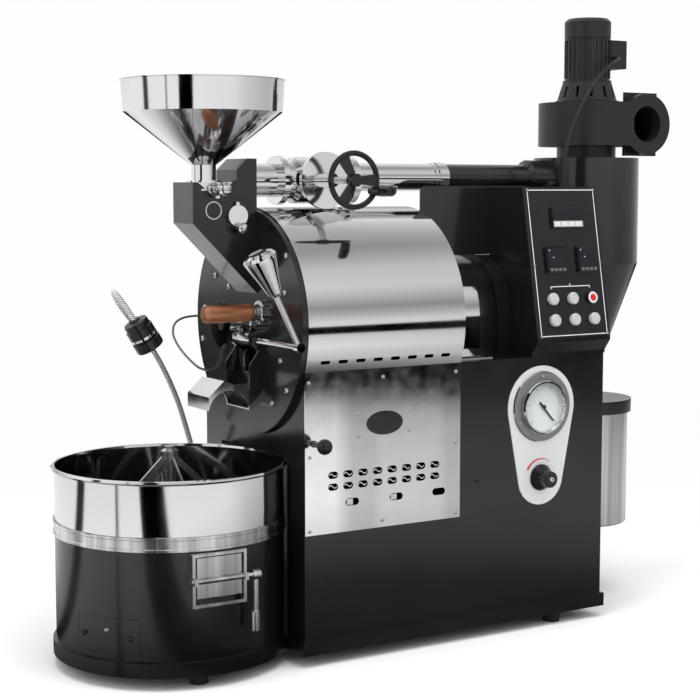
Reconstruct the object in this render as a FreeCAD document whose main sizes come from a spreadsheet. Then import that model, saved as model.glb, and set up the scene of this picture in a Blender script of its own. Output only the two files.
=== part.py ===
import FreeCAD, Part
import math
import os
import Sketcher
from FreeCAD import Placement, Rotation, Vector

# Drum coffee roaster, in millimetres
# X runs along the drum from its front face to the rear, Y across the machine with the
# controls on the minus side, Z up from the floor. Pieces are placed from the lower front
# edge of the cabinet, then shifted so that the origin is under the middle of the machine.

SIZES = {
    # Origin, measured from the cabinet's front face and centre plane
    "middle_along": 255.1,
    "middle_across": -15.8,
    # Plinth and feet
    "foot_rise": 21.0,
    "foot_radius": 17.0,
    "foot_stem_radius": 7.0,
    "foot_across": 316.0,
    "foot_rear_x": 540.0,
    "plinth_rise": 24.0,
    "plinth_overhang": 5.6,
    "plinth_sheet": 3.0,
    # Cabinet
    "cabinet_length": 636.0,
    "cabinet_width": 362.0,
    "cabinet_rise": 452.3,
    "cabinet_sheet": 2.5,
    "panel_bottom_rise": 179.2,
    "panel_sheet": 2.0,
    "vent_length": 19.4,
    "vent_width": 12.0,
    "vent_first_x": 53.8,
    "vent_pitch": 29.3,
    "vent_count": 8,
    "vent_rise": 257.4,
    "vent_row_drop": 20.0,
    "sight_length": 27.0,
    "sight_width": 12.5,
    "sight_first_x": 91.2,
    "sight_pitch": 88.15,
    "sight_rise": 229.0,
    "burner_tube_radius": 14.0,
    "burner_spread": 105.0,
    # Drum, cover and front plate
    "drum_axis_rise": 72.1,
    "cover_radius": 197.0,
    "cover_length": 312.5,
    "cover_sheet": 2.0,
    "slot_length": 18.5,
    "slot_width": 6.0,
    "slot_first_x": 35.8,
    "slot_pitch": 34.4,
    "slot_count": 8,
    "slot_rise": 15.7,
    "front_plate_radius": 195.0,
    "front_plate_thickness": 10.0,
    "drum_radius": 158.0,
    "drum_sheet": 3.0,
    "drum_front_x": 14.0,
    "drum_rear_gap": 30.5,
    "drum_bore_gap": 7.0,
    "vane_rise": 34.0,
    "vane_count": 6,
    "shaft_radius": 12.0,
    "shaft_front_reach": 60.0,
    "running_gap": 0.05,
    "bearing_flange_radius": 38.0,
    "bearing_body_radius": 20.0,
    "bearing_reach": 62.0,
    # Rear drive housing behind the drum
    "housing_radius": 109.0,
    "housing_length": 127.5,
    "housing_flange_radius": 119.0,
    "housing_flange_length": 30.0,
    "guard_setback": 35.0,
    "guard_gap": 0.5,
    "guard_sheet": 1.5,
    "guard_rise": 125.0,
    "guard_foot_reach": 40.0,
    # Sampling spoon
    "trier_y": -54.0,
    "trier_above_axis": 20.1,
    "trier_radius": 8.0,
    "trier_reach": 70.0,
    "trier_grip_radius": 15.3,
    "trier_grip_length": 93.0,
    "trier_port_radius": 20.0,
    "trier_port_reach": 16.0,
    # Discharge door, its lever and the trough below
    "door_pivot_x": -22.0,
    "door_pivot_drop": 27.4,
    "door_rod_radius": 5.5,
    "door_centre_y": -14.0,
    "door_width": 76.0,
    "door_top_drop": 38.4,
    "door_height": 57.0,
    "door_plate": 4.0,
    "door_glass_radius": 22.0,
    "cheek_thickness": 3.0,
    "cheek_reach": 27.0,
    "lever_plane_y": -203.0,
    "lever_lean": 26.0,
    "lever_arm_length": 100.0,
    "lever_grip_length": 64.0,
    "lever_grip_radius": 28.0,
    "trough_reach": 102.0,
    "trough_sheet": 1.5,
    "trough_side_arc": 38.0,
    # Charge chute and hopper
    "chute_width": 76.0,
    "chute_reach": 120.0,
    "chute_sheet": 3.0,
    "chute_top_above_axis": 239.6,
    "chute_nose_rise": 69.0,
    "hopper_x": -91.0,
    "hopper_neck_radius": 21.0,
    "hopper_neck_rise": 29.0,
    "hopper_cone_rise": 87.6,
    "hopper_band_radius": 134.4,
    "hopper_band_rise": 54.3,
    "hopper_rim_radius": 139.2,
    "hopper_sheet": 1.5,
    "gate_drop": 11.0,
    "gate_thickness": 3.0,
    "gate_width": 46.0,
    "knob_ball_radius": 12.5,
    "charge_lever_x": -50.0,
    "charge_lever_drop": 56.0,
    "charge_boss_radius": 18.0,
    # Air pipe, damper and hand wheel
    "pipe_above_axis": 243.1,
    "pipe_front_radius": 28.3,
    "pipe_rear_radius": 24.5,
    "pipe_rear_step": 6.0,
    "pipe_sheet": 1.5,
    "pipe_collar_radius": 27.5,
    "pipe_collar_length": 20.0,
    "pipe_chrome_end_x": 396.0,
    "damper_x": 121.0,
    "damper_half_length": 77.0,
    "damper_flange_radius": 42.0,
    "damper_waist_radius": 34.0,
    "damper_cover_radius": 49.0,
    "damper_cover_y": 40.0,
    "wheel_y": 140.0,
    "wheel_radius": 50.0,
    "wheel_rim_radius": 4.8,
    "spindle_radius": 6.0,
    "crank_radius": 40.0,
    "crank_grip_radius": 9.5,
    "crank_grip_length": 62.0,
    # Cyclone, fan and chaff can
    "cyclone_x": 738.0,
    "cyclone_radius": 102.0,
    "cyclone_top_z": 857.0,
    "cyclone_barrel_rise": 203.0,
    "cyclone_cone_rise": 210.0,
    "cyclone_spout_radius": 28.0,
    "cyclone_sheet": 2.0,
    "fan_neck_radius": 57.0,
    "fan_neck_rise": 23.0,
    "volute_rise": 83.0,
    "volute_radius": 92.0,
    "volute_step": 7.0,
    "volute_sheet": 2.0,
    "outlet_reach": 72.0,
    "outlet_flange_width": 82.0,
    "outlet_flange_rise": 121.0,
    "outlet_collar_radius": 58.0,
    "outlet_bore_radius": 34.0,
    "outlet_collar_reach": 20.0,
    "fan_bell_rise": 43.0,
    "motor_radius": 43.0,
    "motor_rise": 80.0,
    "motor_cap_radius": 44.6,
    "motor_cap_rise": 38.0,
    "motor_fin_count": 24,
    "can_lid_radius": 95.0,
    "can_lid_rise": 25.0,
    "can_lid_above_plinth": 343.0,
    "can_bracket_width": 70.0,
    "can_radius": 88.0,
    "can_rise": 242.0,
    "can_sheet": 1.5,
    # Control console
    "console_gap": 1.0,
    "console_length": 168.0,
    "console_top_rise": 303.7,
    "console_foot_rise": 33.7,
    "console_foot_y": -196.0,
    "console_top_y": -146.0,
    "console_back_y": -50.0,
    "screen_gap": 3.5,
    "screen_length": 244.0,
    "screen_sheet": 3.0,
    "controller_width": 48.0,
    "controller_first_x": 34.0,
    "controller_pitch": 72.0,
    "controller_z": 117.0,
    "timer_length": 72.0,
    "timer_rise": 37.0,
    "timer_x": 56.0,
    "timer_z": 199.0,
    "instrument_proud": 6.0,
    "button_radius": 11.0,
    "button_proud": 6.0,
    "button_travel": 3.0,
    "button_pitch_x": 45.3,
    "button_pitch_z": 38.5,
    "button_first_x": 41.0,
    "button_first_z": 31.5,
    # Gauge plate, gauge and gas knob
    "gauge_x": 491.3,
    "gauge_rise": 362.0,
    "gauge_plate_radius": 74.2,
    "gauge_flange_radius": 64.0,
    "gauge_case_radius": 48.5,
    "gauge_dial_radius": 43.0,
    "gauge_proud": 14.0,
    "gas_knob_rise": 232.7,
    "gas_plate_radius": 49.8,
    "gas_knob_radius": 24.0,
    "gas_knob_reach": 32.0,
    # Shutter knob on the burner panel
    "shutter_x": 17.0,
    "shutter_rise": 333.0,
    "shutter_reach": 48.0,
    "shutter_stem_radius": 5.0,
    "shutter_inner_reach": 32.0,
    # Cooling tray and bin
    "tray_x": -160.2,
    "tray_rim_radius": 199.3,
    "tray_wall_radius": 193.5,
    "tray_rim_z": 338.9,
    "tray_sheet": 1.5,
    "tray_floor_z": 147.0,
    "tray_floor_sheet": 2.0,
    "tray_recess_gap": 1.5,
    "band_z": 225.0,
    "band_rise": 23.0,
    "band_sheet": 3.0,
    "bin_sheet": 2.0,
    "rake_post_radius": 8.5,
    "rake_post_top_z": 365.0,
    "rake_arm_count": 4,
    "rake_arm_reach": 172.0,
    "outlet_gate_x": -169.0,
    "outlet_gate_width": 96.0,
    "outlet_gate_z": 136.0,
    "outlet_gate_rise": 87.0,
    "outlet_gate_reach": 11.0,
    "flap_rod_radius": 4.5,
    "drawer_angle": -147.5,
    "drawer_half_angle": 18.0,
    "drawer_z": 57.0,
    "drawer_rise": 59.0,
    "drawer_gap": 0.5,
    # Lamp on a bending neck
    "lamp_neck_radius": 4.8,
    "lamp_head_radius": 25.0,
    "lamp_head_length": 58.0,
    "lamp_x": -196.0,
    "lamp_y": 60.0,
    "lamp_z": 577.0,
    "lamp_tilt": 148.0,
    # Cords
    "probe_cable_radius": 2.2,
    "motor_cable_radius": 3.2,
}

document = FreeCAD.newDocument("coffee_roaster")
sheet = document.addObject("Spreadsheet::Sheet", "sizes")


class Size:
    """A number together with the sheet formula that it comes from."""

    def __init__(self, number, formula):
        self.number = float(number)
        self.formula = formula

    def __add__(self, other):
        other = sized(other)
        return Size(self.number + other.number, f"({self.formula} + {other.formula})")

    def __sub__(self, other):
        other = sized(other)
        return Size(self.number - other.number, f"({self.formula} - {other.formula})")

    def __mul__(self, other):
        other = sized(other)
        return Size(self.number * other.number, f"({self.formula} * {other.formula})")

    def __truediv__(self, other):
        other = sized(other)
        return Size(self.number / other.number, f"({self.formula} / {other.formula})")

    def __neg__(self):
        return Size(-self.number, f"(0 - {self.formula})")

    def __radd__(self, other):
        return sized(other) + self

    def __rsub__(self, other):
        return sized(other) - self

    def __rmul__(self, other):
        return sized(other) * self


def sized(value):
    """Return a plain number as a Size, and a Size as it is."""
    if isinstance(value, Size):
        return value
    return Size(value, f"({float(value)})")


def root(value):
    return Size(math.sqrt(value.number), f"sqrt({value.formula})")


def sine(angle):
    return Size(math.sin(math.radians(angle.number)), f"sin({angle.formula} * 1 deg)")


def cosine(angle):
    return Size(math.cos(math.radians(angle.number)), f"cos({angle.formula} * 1 deg)")


def fill_sheet():
    """Write every driving size into the sheet and return them by name."""
    named = {}
    for row, (name, number) in enumerate(SIZES.items(), start=1):
        sheet.set(f"A{row}", name)
        sheet.set(f"B{row}", str(number))
        sheet.setAlias(f"B{row}", name)
        named[name] = Size(number, f"sizes.{name}")
    document.recompute()
    return named


class Named:
    """The driving sizes as attributes."""

    def __init__(self, values):
        self.__dict__.update(values)


size = Named(fill_sheet())

# Heights and planes that several pieces share
plinth_top = size.foot_rise + size.plinth_rise
deck = plinth_top + size.cabinet_rise
half_width = size.cabinet_width / 2
drum_axis = deck + size.drum_axis_rise
front_face = -size.front_plate_thickness
pipe_axis = drum_axis + size.pipe_above_axis
pipe_rear_axis = pipe_axis + size.pipe_rear_step
chute_top = drum_axis + size.chute_top_above_axis
door_pivot = drum_axis - size.door_pivot_drop
trier_axis = drum_axis + size.trier_above_axis
recess_radius = size.tray_rim_radius + size.tray_recess_gap
recess_top = size.tray_rim_z + 7
volute_z = size.cyclone_top_z + size.fan_neck_rise
volute_top = volute_z + size.volute_rise
console_top = deck + size.console_top_rise
housing_end = size.cover_length + size.housing_length
flange_end = housing_end + size.housing_flange_length
console_x = flange_end + size.console_gap
can_lid_top = plinth_top + size.can_lid_above_plinth
console_foot = deck + size.console_foot_rise

finished = []


# Helpers for bodies, sketches and features

def place(item, x, y, z, axis=None, turn=0.0):
    """Put a piece at a point given from the cabinet's front foot, turned about an axis."""
    item.Placement = Placement(Vector(0, 0, 0), Rotation(axis or Vector(0, 0, 1), turn))
    item.setExpression(".Placement.Base.x", (sized(x) - size.middle_along).formula)
    item.setExpression(".Placement.Base.y", (sized(y) - size.middle_across).formula)
    item.setExpression(".Placement.Base.z", sized(z).formula)


def new_body(label, x=0.0, y=0.0, z=0.0, axis=None, turn=0.0):
    body = document.addObject("PartDesign::Body", label)
    body.Label = label
    place(body, x, y, z, axis, turn)
    finished.append(body)
    return body


def new_sketch(body, plane, offset=0.0):
    """Attach a sketch to one of the body's own planes, moved along the plane's normal."""
    sketch = body.newObject("Sketcher::SketchObject", f"{body.Label}_sketch")
    support = [item for item in body.Origin.OriginFeatures if item.Role == f"{plane}_Plane"]
    sketch.AttachmentSupport = [(support[0], "")]
    sketch.MapMode = "FlatFace"
    sketch.AttachmentOffset = Placement(Vector(0, 0, sized(offset).number), Rotation())
    sketch.setExpression("AttachmentOffset.Base.z", sized(offset).formula)
    return sketch


def pin_point(sketch, element, end, x, y):
    """Hold one end of a sketch element at a distance from the sketch origin."""
    for kind, distance in (("DistanceX", sized(x)), ("DistanceY", sized(y))):
        number = sketch.addConstraint(
            Sketcher.Constraint(kind, -1, 1, element, end, distance.number))
        sketch.setExpression(f"Constraints[{number}]", distance.formula)


def set_radius(sketch, element, radius):
    number = sketch.addConstraint(Sketcher.Constraint("Radius", element, sized(radius).number))
    sketch.setExpression(f"Constraints[{number}]", sized(radius).formula)


def draw_circle(sketch, x, y, radius):
    centre = Vector(sized(x).number, sized(y).number, 0)
    circle = Part.Circle(centre, Vector(0, 0, 1), sized(radius).number)
    element = sketch.addGeometry(circle, False)
    pin_point(sketch, element, 3, x, y)
    set_radius(sketch, element, radius)


def arc_between(start, end, radius, bulge_left, large=False):
    """Return the arc of a radius from start to end, bulging left or right of the way."""
    chord = end - start
    half = chord.Length / 2
    rise = math.sqrt(max(radius * radius - half * half, 0.0))
    left = Vector(-chord.y, chord.x, 0).normalize()
    towards = -1.0 if bulge_left else 1.0
    if large:
        towards = -towards
    centre = (start + end) * 0.5 + left * (rise * towards)
    angles = [math.atan2(point.y - centre.y, point.x - centre.x) for point in (start, end)]
    if bulge_left:
        angles.reverse()
    circle = Part.Circle(centre, Vector(0, 0, 1), radius)
    return Part.ArcOfCircle(circle, angles[0], angles[1])


def draw_outline(sketch, corners):
    """Draw a closed outline. A corner is (x, y) or (x, y, arc), where the arc is a
    (radius, bulge_left, large) that leads from it to the next corner."""
    points = [Vector(sized(c[0]).number, sized(c[1]).number, 0) for c in corners]
    first = sketch.GeometryCount
    starts = []
    for index, corner in enumerate(corners):
        start = points[index]
        end = points[(index + 1) % len(points)]
        if len(corner) == 2:
            sketch.addGeometry(Part.LineSegment(start, end), False)
            starts.append((1, 2))
        else:
            radius, bulge_left, large = corner[2]
            sketch.addGeometry(arc_between(start, end, sized(radius).number, bulge_left, large), False)
            starts.append((2, 1) if bulge_left else (1, 2))
    for index, corner in enumerate(corners):
        following = (index + 1) % len(corners)
        sketch.addConstraint(Sketcher.Constraint(
            "Coincident", first + index, starts[index][1], first + following, starts[following][0]))
        pin_point(sketch, first + index, starts[index][0], corner[0], corner[1])
        if len(corner) == 3:
            set_radius(sketch, first + index, corner[2][0])


def draw_rectangle(sketch, left, bottom, right, top):
    draw_outline(sketch, [(left, bottom), (right, bottom), (right, top), (left, top)])


def draw_slot(sketch, x, y, length, width):
    """Draw a level slot with round ends about its centre."""
    half = (sized(length) - width) / 2
    radius = sized(width) / 2
    left = sized(x) - half
    right = sized(x) + half
    top = sized(y) + radius
    bottom = sized(y) - radius
    bulge = radius * 1.0001
    draw_outline(sketch, [(left, bottom), (right, bottom, (bulge, False, False)),
                          (right, top), (left, top, (bulge, False, False))])


def extruded(body, kind, sketch, length, along=True, middle=False):
    feature = body.newObject(kind, f"{body.Label}_{kind.split('::')[1].lower()}")
    feature.Profile = sketch
    feature.Length = sized(length).number
    feature.setExpression("Length", sized(length).formula)
    if middle:
        feature.Midplane = True
    elif kind == "PartDesign::Pad":
        feature.Reversed = not along
    else:
        feature.Reversed = along
    return feature


def pad(body, sketch, length, along=True, middle=False):
    """Grow the sketch along its plane's normal, against it, or both ways from the middle."""
    return extruded(body, "PartDesign::Pad", sketch, length, along, middle)


def cut(body, sketch, depth, along=True, middle=False):
    """Cut the sketch away along its plane's normal, against it, or both ways."""
    return extruded(body, "PartDesign::Pocket", sketch, depth, along, middle)


def spin(body, corners, kind="PartDesign::Revolution"):
    """Turn an outline of (radius, height) corners about the body's own Z axis."""
    sketch = new_sketch(body, "XZ")
    draw_outline(sketch, corners)
    feature = body.newObject(kind, f"{body.Label}_turned")
    feature.Profile = sketch
    feature.ReferenceAxis = (sketch, ["V_Axis"])
    feature.Angle = 360
    return feature


def row_of(body, feature, pitch, count, plane_axis="H_Axis"):
    """Repeat a feature along its sketch's level axis."""
    pattern = body.newObject("PartDesign::LinearPattern", f"{body.Label}_row")
    pattern.Originals = [feature]
    pattern.Direction = (feature.Profile[0], [plane_axis])
    pattern.Mode = "Spacing"
    pattern.Offset = sized(pitch).number
    pattern.setExpression("Offset", sized(pitch).formula)
    pattern.Occurrences = int(sized(count).number)
    pattern.setExpression("Occurrences", sized(count).formula)
    body.Tip = pattern
    return pattern


def ring_of(body, feature, count):
    """Repeat a feature round the body's own Z axis."""
    pattern = body.newObject("PartDesign::PolarPattern", f"{body.Label}_ring")
    pattern.Originals = [feature]
    axis = [item for item in body.Origin.OriginFeatures if item.Role == "Z_Axis"]
    pattern.Axis = (axis[0], [""])
    pattern.Angle = 360
    pattern.Occurrences = int(sized(count).number)
    pattern.setExpression("Occurrences", sized(count).formula)
    body.Tip = pattern
    return pattern


def add_ball(body, x, y, z, radius):
    ball = body.newObject("PartDesign::AdditiveSphere", f"{body.Label}_ball")
    ball.Radius = sized(radius).number
    ball.setExpression("Radius", sized(radius).formula)
    for name, distance in (("x", x), ("y", y), ("z", z)):
        ball.setExpression(f".Placement.Base.{name}", sized(distance).formula)
    return ball


ALONG_X = (Vector(0, 1, 0), 90)
AGAINST_X = (Vector(0, 1, 0), -90)
TOWARDS_CONTROLS = (Vector(1, 0, 0), 90)


# Plinth, feet and cabinet

def base_plinth():
    body = new_body("base_plinth", z=size.foot_rise)
    edge = half_width + size.plinth_overhang
    round_edge = size.tray_wall_radius + size.plinth_overhang
    outline = new_sketch(body, "XY")
    draw_rectangle(outline, -size.plinth_overhang, -edge, size.cabinet_length + size.plinth_overhang, edge)
    pad(body, outline, size.plinth_rise)
    nose = new_sketch(body, "XY")
    draw_circle(nose, size.tray_x, 0, round_edge)
    pad(body, nose, size.plinth_rise)
    inner = edge - size.plinth_sheet
    hollow = new_sketch(body, "XY")
    draw_rectangle(hollow, size.plinth_sheet - size.plinth_overhang, -inner,
                   size.cabinet_length + size.plinth_overhang - size.plinth_sheet, inner)
    cut(body, hollow, size.plinth_rise - size.plinth_sheet)
    nose_hollow = new_sketch(body, "XY")
    draw_circle(nose_hollow, size.tray_x, 0, round_edge - size.plinth_sheet)
    cut(body, nose_hollow, size.plinth_rise - size.plinth_sheet)


def base_feet():
    """Four rubber feet on stems that meet the top of the plinth from below."""
    top = plinth_top - size.plinth_sheet
    half = size.foot_across / 2
    shapes = []
    for x in (size.tray_x - 25, size.foot_rear_x):
        for y in (-half, half):
            pad_shape = Part.makeCone(size.foot_radius.number - 2, size.foot_radius.number,
                                      size.foot_rise.number - 4, Vector(x.number, y.number, 0))
            stem = Part.makeCylinder(size.foot_stem_radius.number, top.number - size.foot_rise.number + 4,
                                     Vector(x.number, y.number, size.foot_rise.number - 4))
            shapes.append(pad_shape.fuse(stem))
    feature = document.addObject("Part::Feature", "base_feet")
    feature.Label = "base_feet"
    feature.Shape = Part.makeCompound(shapes)
    place(feature, 0, 0, 0)
    finished.append(feature)


def cabinet_shell():
    body = new_body("cabinet_shell", z=plinth_top)
    sheet_in = size.cabinet_sheet
    rise = size.cabinet_rise
    box = new_sketch(body, "XY")
    draw_rectangle(box, 0, -half_width, size.cabinet_length, half_width)
    pad(body, box, rise)
    inside = new_sketch(body, "XY")
    draw_rectangle(inside, sheet_in, sheet_in - half_width,
                   size.cabinet_length - sheet_in, half_width - sheet_in)
    cut(body, inside, rise - sheet_in)
    wall_radius = recess_radius + sheet_in
    reach = root(wall_radius * wall_radius - size.tray_x * size.tray_x)
    wall = new_sketch(body, "XY")
    draw_outline(wall, [(0, -reach, (wall_radius, False, False)), (0, reach)])
    pad(body, wall, recess_top + sheet_in - plinth_top)
    recess = new_sketch(body, "XY")
    draw_circle(recess, size.tray_x, 0, recess_radius)
    cut(body, recess, recess_top - plinth_top)
    drum_bore = new_sketch(body, "YZ")
    draw_circle(drum_bore, 0, drum_axis - plinth_top, size.drum_radius + size.drum_bore_gap)
    cut(body, drum_bore, sheet_in)
    well = new_sketch(body, "XY", rise - sheet_in)
    well_half = half_width - 8
    draw_rectangle(well, sheet_in, -well_half, size.cover_length - 8, well_half)
    cut(body, well, sheet_in)
    side = new_sketch(body, "XZ", half_width - sheet_in)
    draw_rectangle(side, 30, size.panel_bottom_rise + 12, size.cover_length - 12, rise - 25)
    cut(body, side, sheet_in)
    stem_hole = new_sketch(body, "XZ", half_width - sheet_in)
    draw_circle(stem_hole, size.shutter_x, size.shutter_rise, size.shutter_stem_radius + 1)
    cut(body, stem_hole, sheet_in)


def burner_panel():
    body = new_body("burner_panel", y=-half_width, z=plinth_top)
    sheet_out = size.panel_sheet
    face = new_sketch(body, "XZ")
    draw_rectangle(face, 0, size.panel_bottom_rise, size.cover_length, size.cabinet_rise)
    pad(body, face, sheet_out)
    for drop in (0, size.vent_row_drop):
        vent = new_sketch(body, "XZ")
        draw_slot(vent, size.vent_first_x, size.vent_rise + 20 - drop, size.vent_length, size.vent_width)
        row_of(body, cut(body, vent, sheet_out), size.vent_pitch, size.vent_count)
    sight = new_sketch(body, "XZ")
    draw_slot(sight, size.sight_first_x, size.sight_rise, size.sight_length, size.sight_width)
    row_of(body, cut(body, sight, sheet_out), size.sight_pitch, 3)
    stem_hole = new_sketch(body, "XZ")
    draw_circle(stem_hole, size.shutter_x, size.shutter_rise, size.shutter_stem_radius + 1)
    cut(body, stem_hole, sheet_out)
    body.Tip = body.Group[-1]


def gas_burner():
    """Three gas tubes on two bars that span the cabinet behind the panel's sights."""
    body = new_body("gas_burner", z=plinth_top + size.sight_rise - 2)
    bar_drop = size.burner_tube_radius + 8
    inner = half_width - size.cabinet_sheet
    bars = new_sketch(body, "XY", -bar_drop)
    draw_rectangle(bars, 60, -inner, 76, inner)
    draw_rectangle(bars, size.cover_length - 72, -inner, size.cover_length - 56, inner)
    pad(body, bars, 9)
    for y in (-size.burner_spread, 0, size.burner_spread):
        tube = new_sketch(body, "YZ", 45)
        draw_circle(tube, y, 0, size.burner_tube_radius)
        pad(body, tube, size.cover_length - 90)


# Drum, cover, front plate and bearing

def drum_cover():
    body = new_body("drum_cover", z=drum_axis)
    ring = new_sketch(body, "YZ")
    draw_circle(ring, 0, 0, size.cover_radius)
    draw_circle(ring, 0, 0, size.cover_radius - size.cover_sheet)
    pad(body, ring, size.cover_length)
    below = new_sketch(body, "YZ")
    draw_rectangle(below, -size.cover_radius - 5, -size.cover_radius - 5,
                   size.cover_radius + 5, -size.drum_axis_rise)
    cut(body, below, size.cover_length)
    slot = new_sketch(body, "XZ")
    draw_slot(slot, size.slot_first_x, size.slot_rise - size.drum_axis_rise, size.slot_length, size.slot_width)
    row_of(body, cut(body, slot, size.cover_radius * 2.1, middle=True), size.slot_pitch, size.slot_count)


def front_plate():
    """The black disc that closes the drum, with cheeks beside the discharge door."""
    body = new_body("front_plate", z=drum_axis)
    thick = size.front_plate_thickness
    disc = new_sketch(body, "YZ")
    draw_circle(disc, 0, 0, size.front_plate_radius)
    pad(body, disc, thick, along=False)
    half = size.door_width / 2
    left = size.door_centre_y - half - 4
    right = size.door_centre_y + half + 4
    top = -size.door_top_drop
    bottom = top - size.door_height
    cheek_top = top - 13
    for y in (left - size.cheek_thickness, right):
        cheek = new_sketch(body, "XZ", -y - size.cheek_thickness)
        draw_outline(cheek, [(front_face, cheek_top + 30), (front_face, bottom - 14),
                             (front_face - 10, bottom - 28), (front_face - size.cheek_reach, bottom - 42),
                             (front_face - size.cheek_reach, cheek_top - 18),
                             (front_face - 6, cheek_top + 10), (size.door_pivot_x - 9, cheek_top + 20),
                             (size.door_pivot_x - 9, 9 - size.door_pivot_drop),
                             (front_face, 9 - size.door_pivot_drop)])
        pad(body, cheek, size.cheek_thickness)
    holes = new_sketch(body, "YZ")
    draw_circle(holes, 0, 0, size.shaft_radius + 3)
    draw_circle(holes, size.trier_y, size.trier_above_axis, size.trier_radius + 1)
    draw_rectangle(holes, left + 12, bottom + 6, right - 12, top - 6)
    draw_rectangle(holes, 6 - size.chute_width / 2, 75, size.chute_width / 2 - 6, 130)
    cut(body, holes, thick, along=False)
    rod_hole = new_sketch(body, "XZ")
    draw_circle(rod_hole, size.door_pivot_x, -size.door_pivot_drop, size.door_rod_radius + size.running_gap)
    cut(body, rod_hole, size.front_plate_radius, middle=True)


def front_bearing():
    """Flanged bearing on the front plate that carries the drum's shaft."""
    body = new_body("front_bearing", front_face, 0, drum_axis, *AGAINST_X)
    bore = size.shaft_radius + size.running_gap
    flange = size.bearing_flange_radius
    reach = size.bearing_reach - size.front_plate_thickness
    collar = size.bearing_body_radius + 4
    spin(body, [(bore, 0), (collar, 0), (collar, 4), (size.bearing_body_radius, 4),
                (size.bearing_body_radius, reach - 6), (flange, reach - 6), (flange, reach), (bore, reach)])
    lobe = new_sketch(body, "XY", reach - 6)
    draw_outline(lobe, [(-flange * 0.5, flange * 0.8), (-flange * 0.5, -flange * 0.8),
                        (-flange * 0.98, -12, (14, True, False)), (-flange * 0.98, 12)])
    pad(body, lobe, 6)


def drum():
    """Roasting drum: shell, rear wall, front spider, inner vanes and the shaft."""
    body = new_body("drum", size.drum_front_x, 0, drum_axis, *ALONG_X)
    outer = size.drum_radius
    inner = outer - size.drum_sheet
    length = size.cover_length - size.drum_front_x - size.drum_rear_gap
    shaft = size.shaft_radius
    front = -size.drum_front_x - size.shaft_front_reach
    rear = size.cover_length - size.drum_front_x + 12
    spin(body, [(0, front), (shaft, front), (shaft, length - 4), (inner, length - 4), (inner, 0),
                (outer, 0), (outer, length), (shaft, length), (shaft, rear), (0, rear)])
    spoke = new_sketch(body, "XY", length * 0.36)
    draw_rectangle(spoke, 0, -9, inner + 1, 9)
    ring_of(body, pad(body, spoke, 6), 3)
    vane = new_sketch(body, "XY", 12)
    draw_rectangle(vane, inner - size.vane_rise, -1.5, inner + 1, 1.5)
    ring_of(body, pad(body, vane, length - 14), size.vane_count)


def rear_housing():
    """Arched drive housing behind the drum, with the plate that closes the cover."""
    body = new_body("rear_housing", z=drum_axis)
    start = size.cover_length
    foot = -size.drum_axis_rise
    inner = size.cover_radius - size.cover_sheet
    half = root(inner * inner - size.drum_axis_rise * size.drum_axis_rise)
    end_plate = new_sketch(body, "YZ", start - 3)
    draw_outline(end_plate, [(-half, foot), (half, foot, (inner, False, True))])
    pad(body, end_plate, 3)
    for radius, first, last in ((size.housing_radius, start, housing_end),
                                (size.housing_flange_radius, housing_end, flange_end)):
        arch = new_sketch(body, "YZ", first)
        draw_outline(arch, [(-radius, foot), (radius, foot), (radius, 0, (radius * 1.0001, False, False)),
                            (-radius, 0)])
        pad(body, arch, last - first)
    inner = size.housing_radius - 8
    space = new_sketch(body, "YZ", start)
    draw_outline(space, [(-inner, foot), (inner, foot), (inner, 0, (inner * 1.0001, False, False)), (-inner, 0)])
    cut(body, space, flange_end - start - 8)
    bore = new_sketch(body, "YZ", start - 3)
    draw_circle(bore, 0, 0, size.shaft_radius + size.running_gap)
    cut(body, bore, 4)


def rear_guard():
    """Bright heat guard bent over the control side of the drive housing."""
    body = new_body("rear_guard", size.cover_length, 0, drum_axis)
    inner = size.housing_radius + size.guard_gap
    outer = inner + size.guard_sheet
    foot = -size.drum_axis_rise
    rise = size.guard_rise - size.drum_axis_rise
    inner_y = -root(inner * inner - rise * rise)
    outer_y = -root(outer * outer - rise * rise)
    strip = new_sketch(body, "YZ")
    draw_outline(strip, [(outer_y, rise, (outer, False, False)), (-outer, 0), (-outer, foot + 14),
                         (-outer - 8, foot + size.guard_sheet),
                         (-outer - size.guard_foot_reach, foot + size.guard_sheet),
                         (-outer - size.guard_foot_reach, foot), (-inner - 7, foot), (-inner, foot + 12),
                         (-inner, 0, (inner, True, False)), (inner_y, rise)])
    pad(body, strip, size.housing_length - size.guard_setback)


# Sampling spoon and its port

def trier_port():
    body = new_body("trier_port", front_face, size.trier_y, trier_axis, *AGAINST_X)
    bore = size.trier_radius + 0.3
    port = size.trier_port_radius
    spin(body, [(bore, 0), (port, 0), (port, 6), (port - 6, 8), (port - 7, size.trier_port_reach),
                (bore, size.trier_port_reach)])


def trier_spoon():
    """Steel sampling tube, cut open along its inner half."""
    reach = size.trier_port_reach + size.front_plate_thickness + 2
    body = new_body("trier_spoon", -reach, size.trier_y, trier_axis, *ALONG_X)
    length = reach + size.trier_reach
    tube = size.trier_radius
    spin(body, [(0, 0), (tube, 0), (tube, length - 3), (tube - 3, length), (0, length)])
    scoop = new_sketch(body, "XY", reach + 4)
    draw_circle(scoop, 0, 0, tube - 1.5)
    cut(body, scoop, size.trier_reach - 8)
    mouth = new_sketch(body, "XZ")
    draw_rectangle(mouth, -tube - 1, reach + 4, -1, length - 4)
    cut(body, mouth, tube * 3, middle=True)


def trier_handle():
    reach = size.trier_port_reach + size.front_plate_thickness + 2
    body = new_body("trier_handle", -reach, size.trier_y, trier_axis, *AGAINST_X)
    grip = size.trier_grip_radius
    length = size.trier_grip_length
    spin(body, [(0, 0), (grip - 6, 0), (grip - 2, 3), (grip, 9), (grip - 0.8, length / 2),
                (grip, length - 7), (grip - 2, length - 2), (grip - 5, length), (0, length)])


# Discharge door, lever and trough

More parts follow.
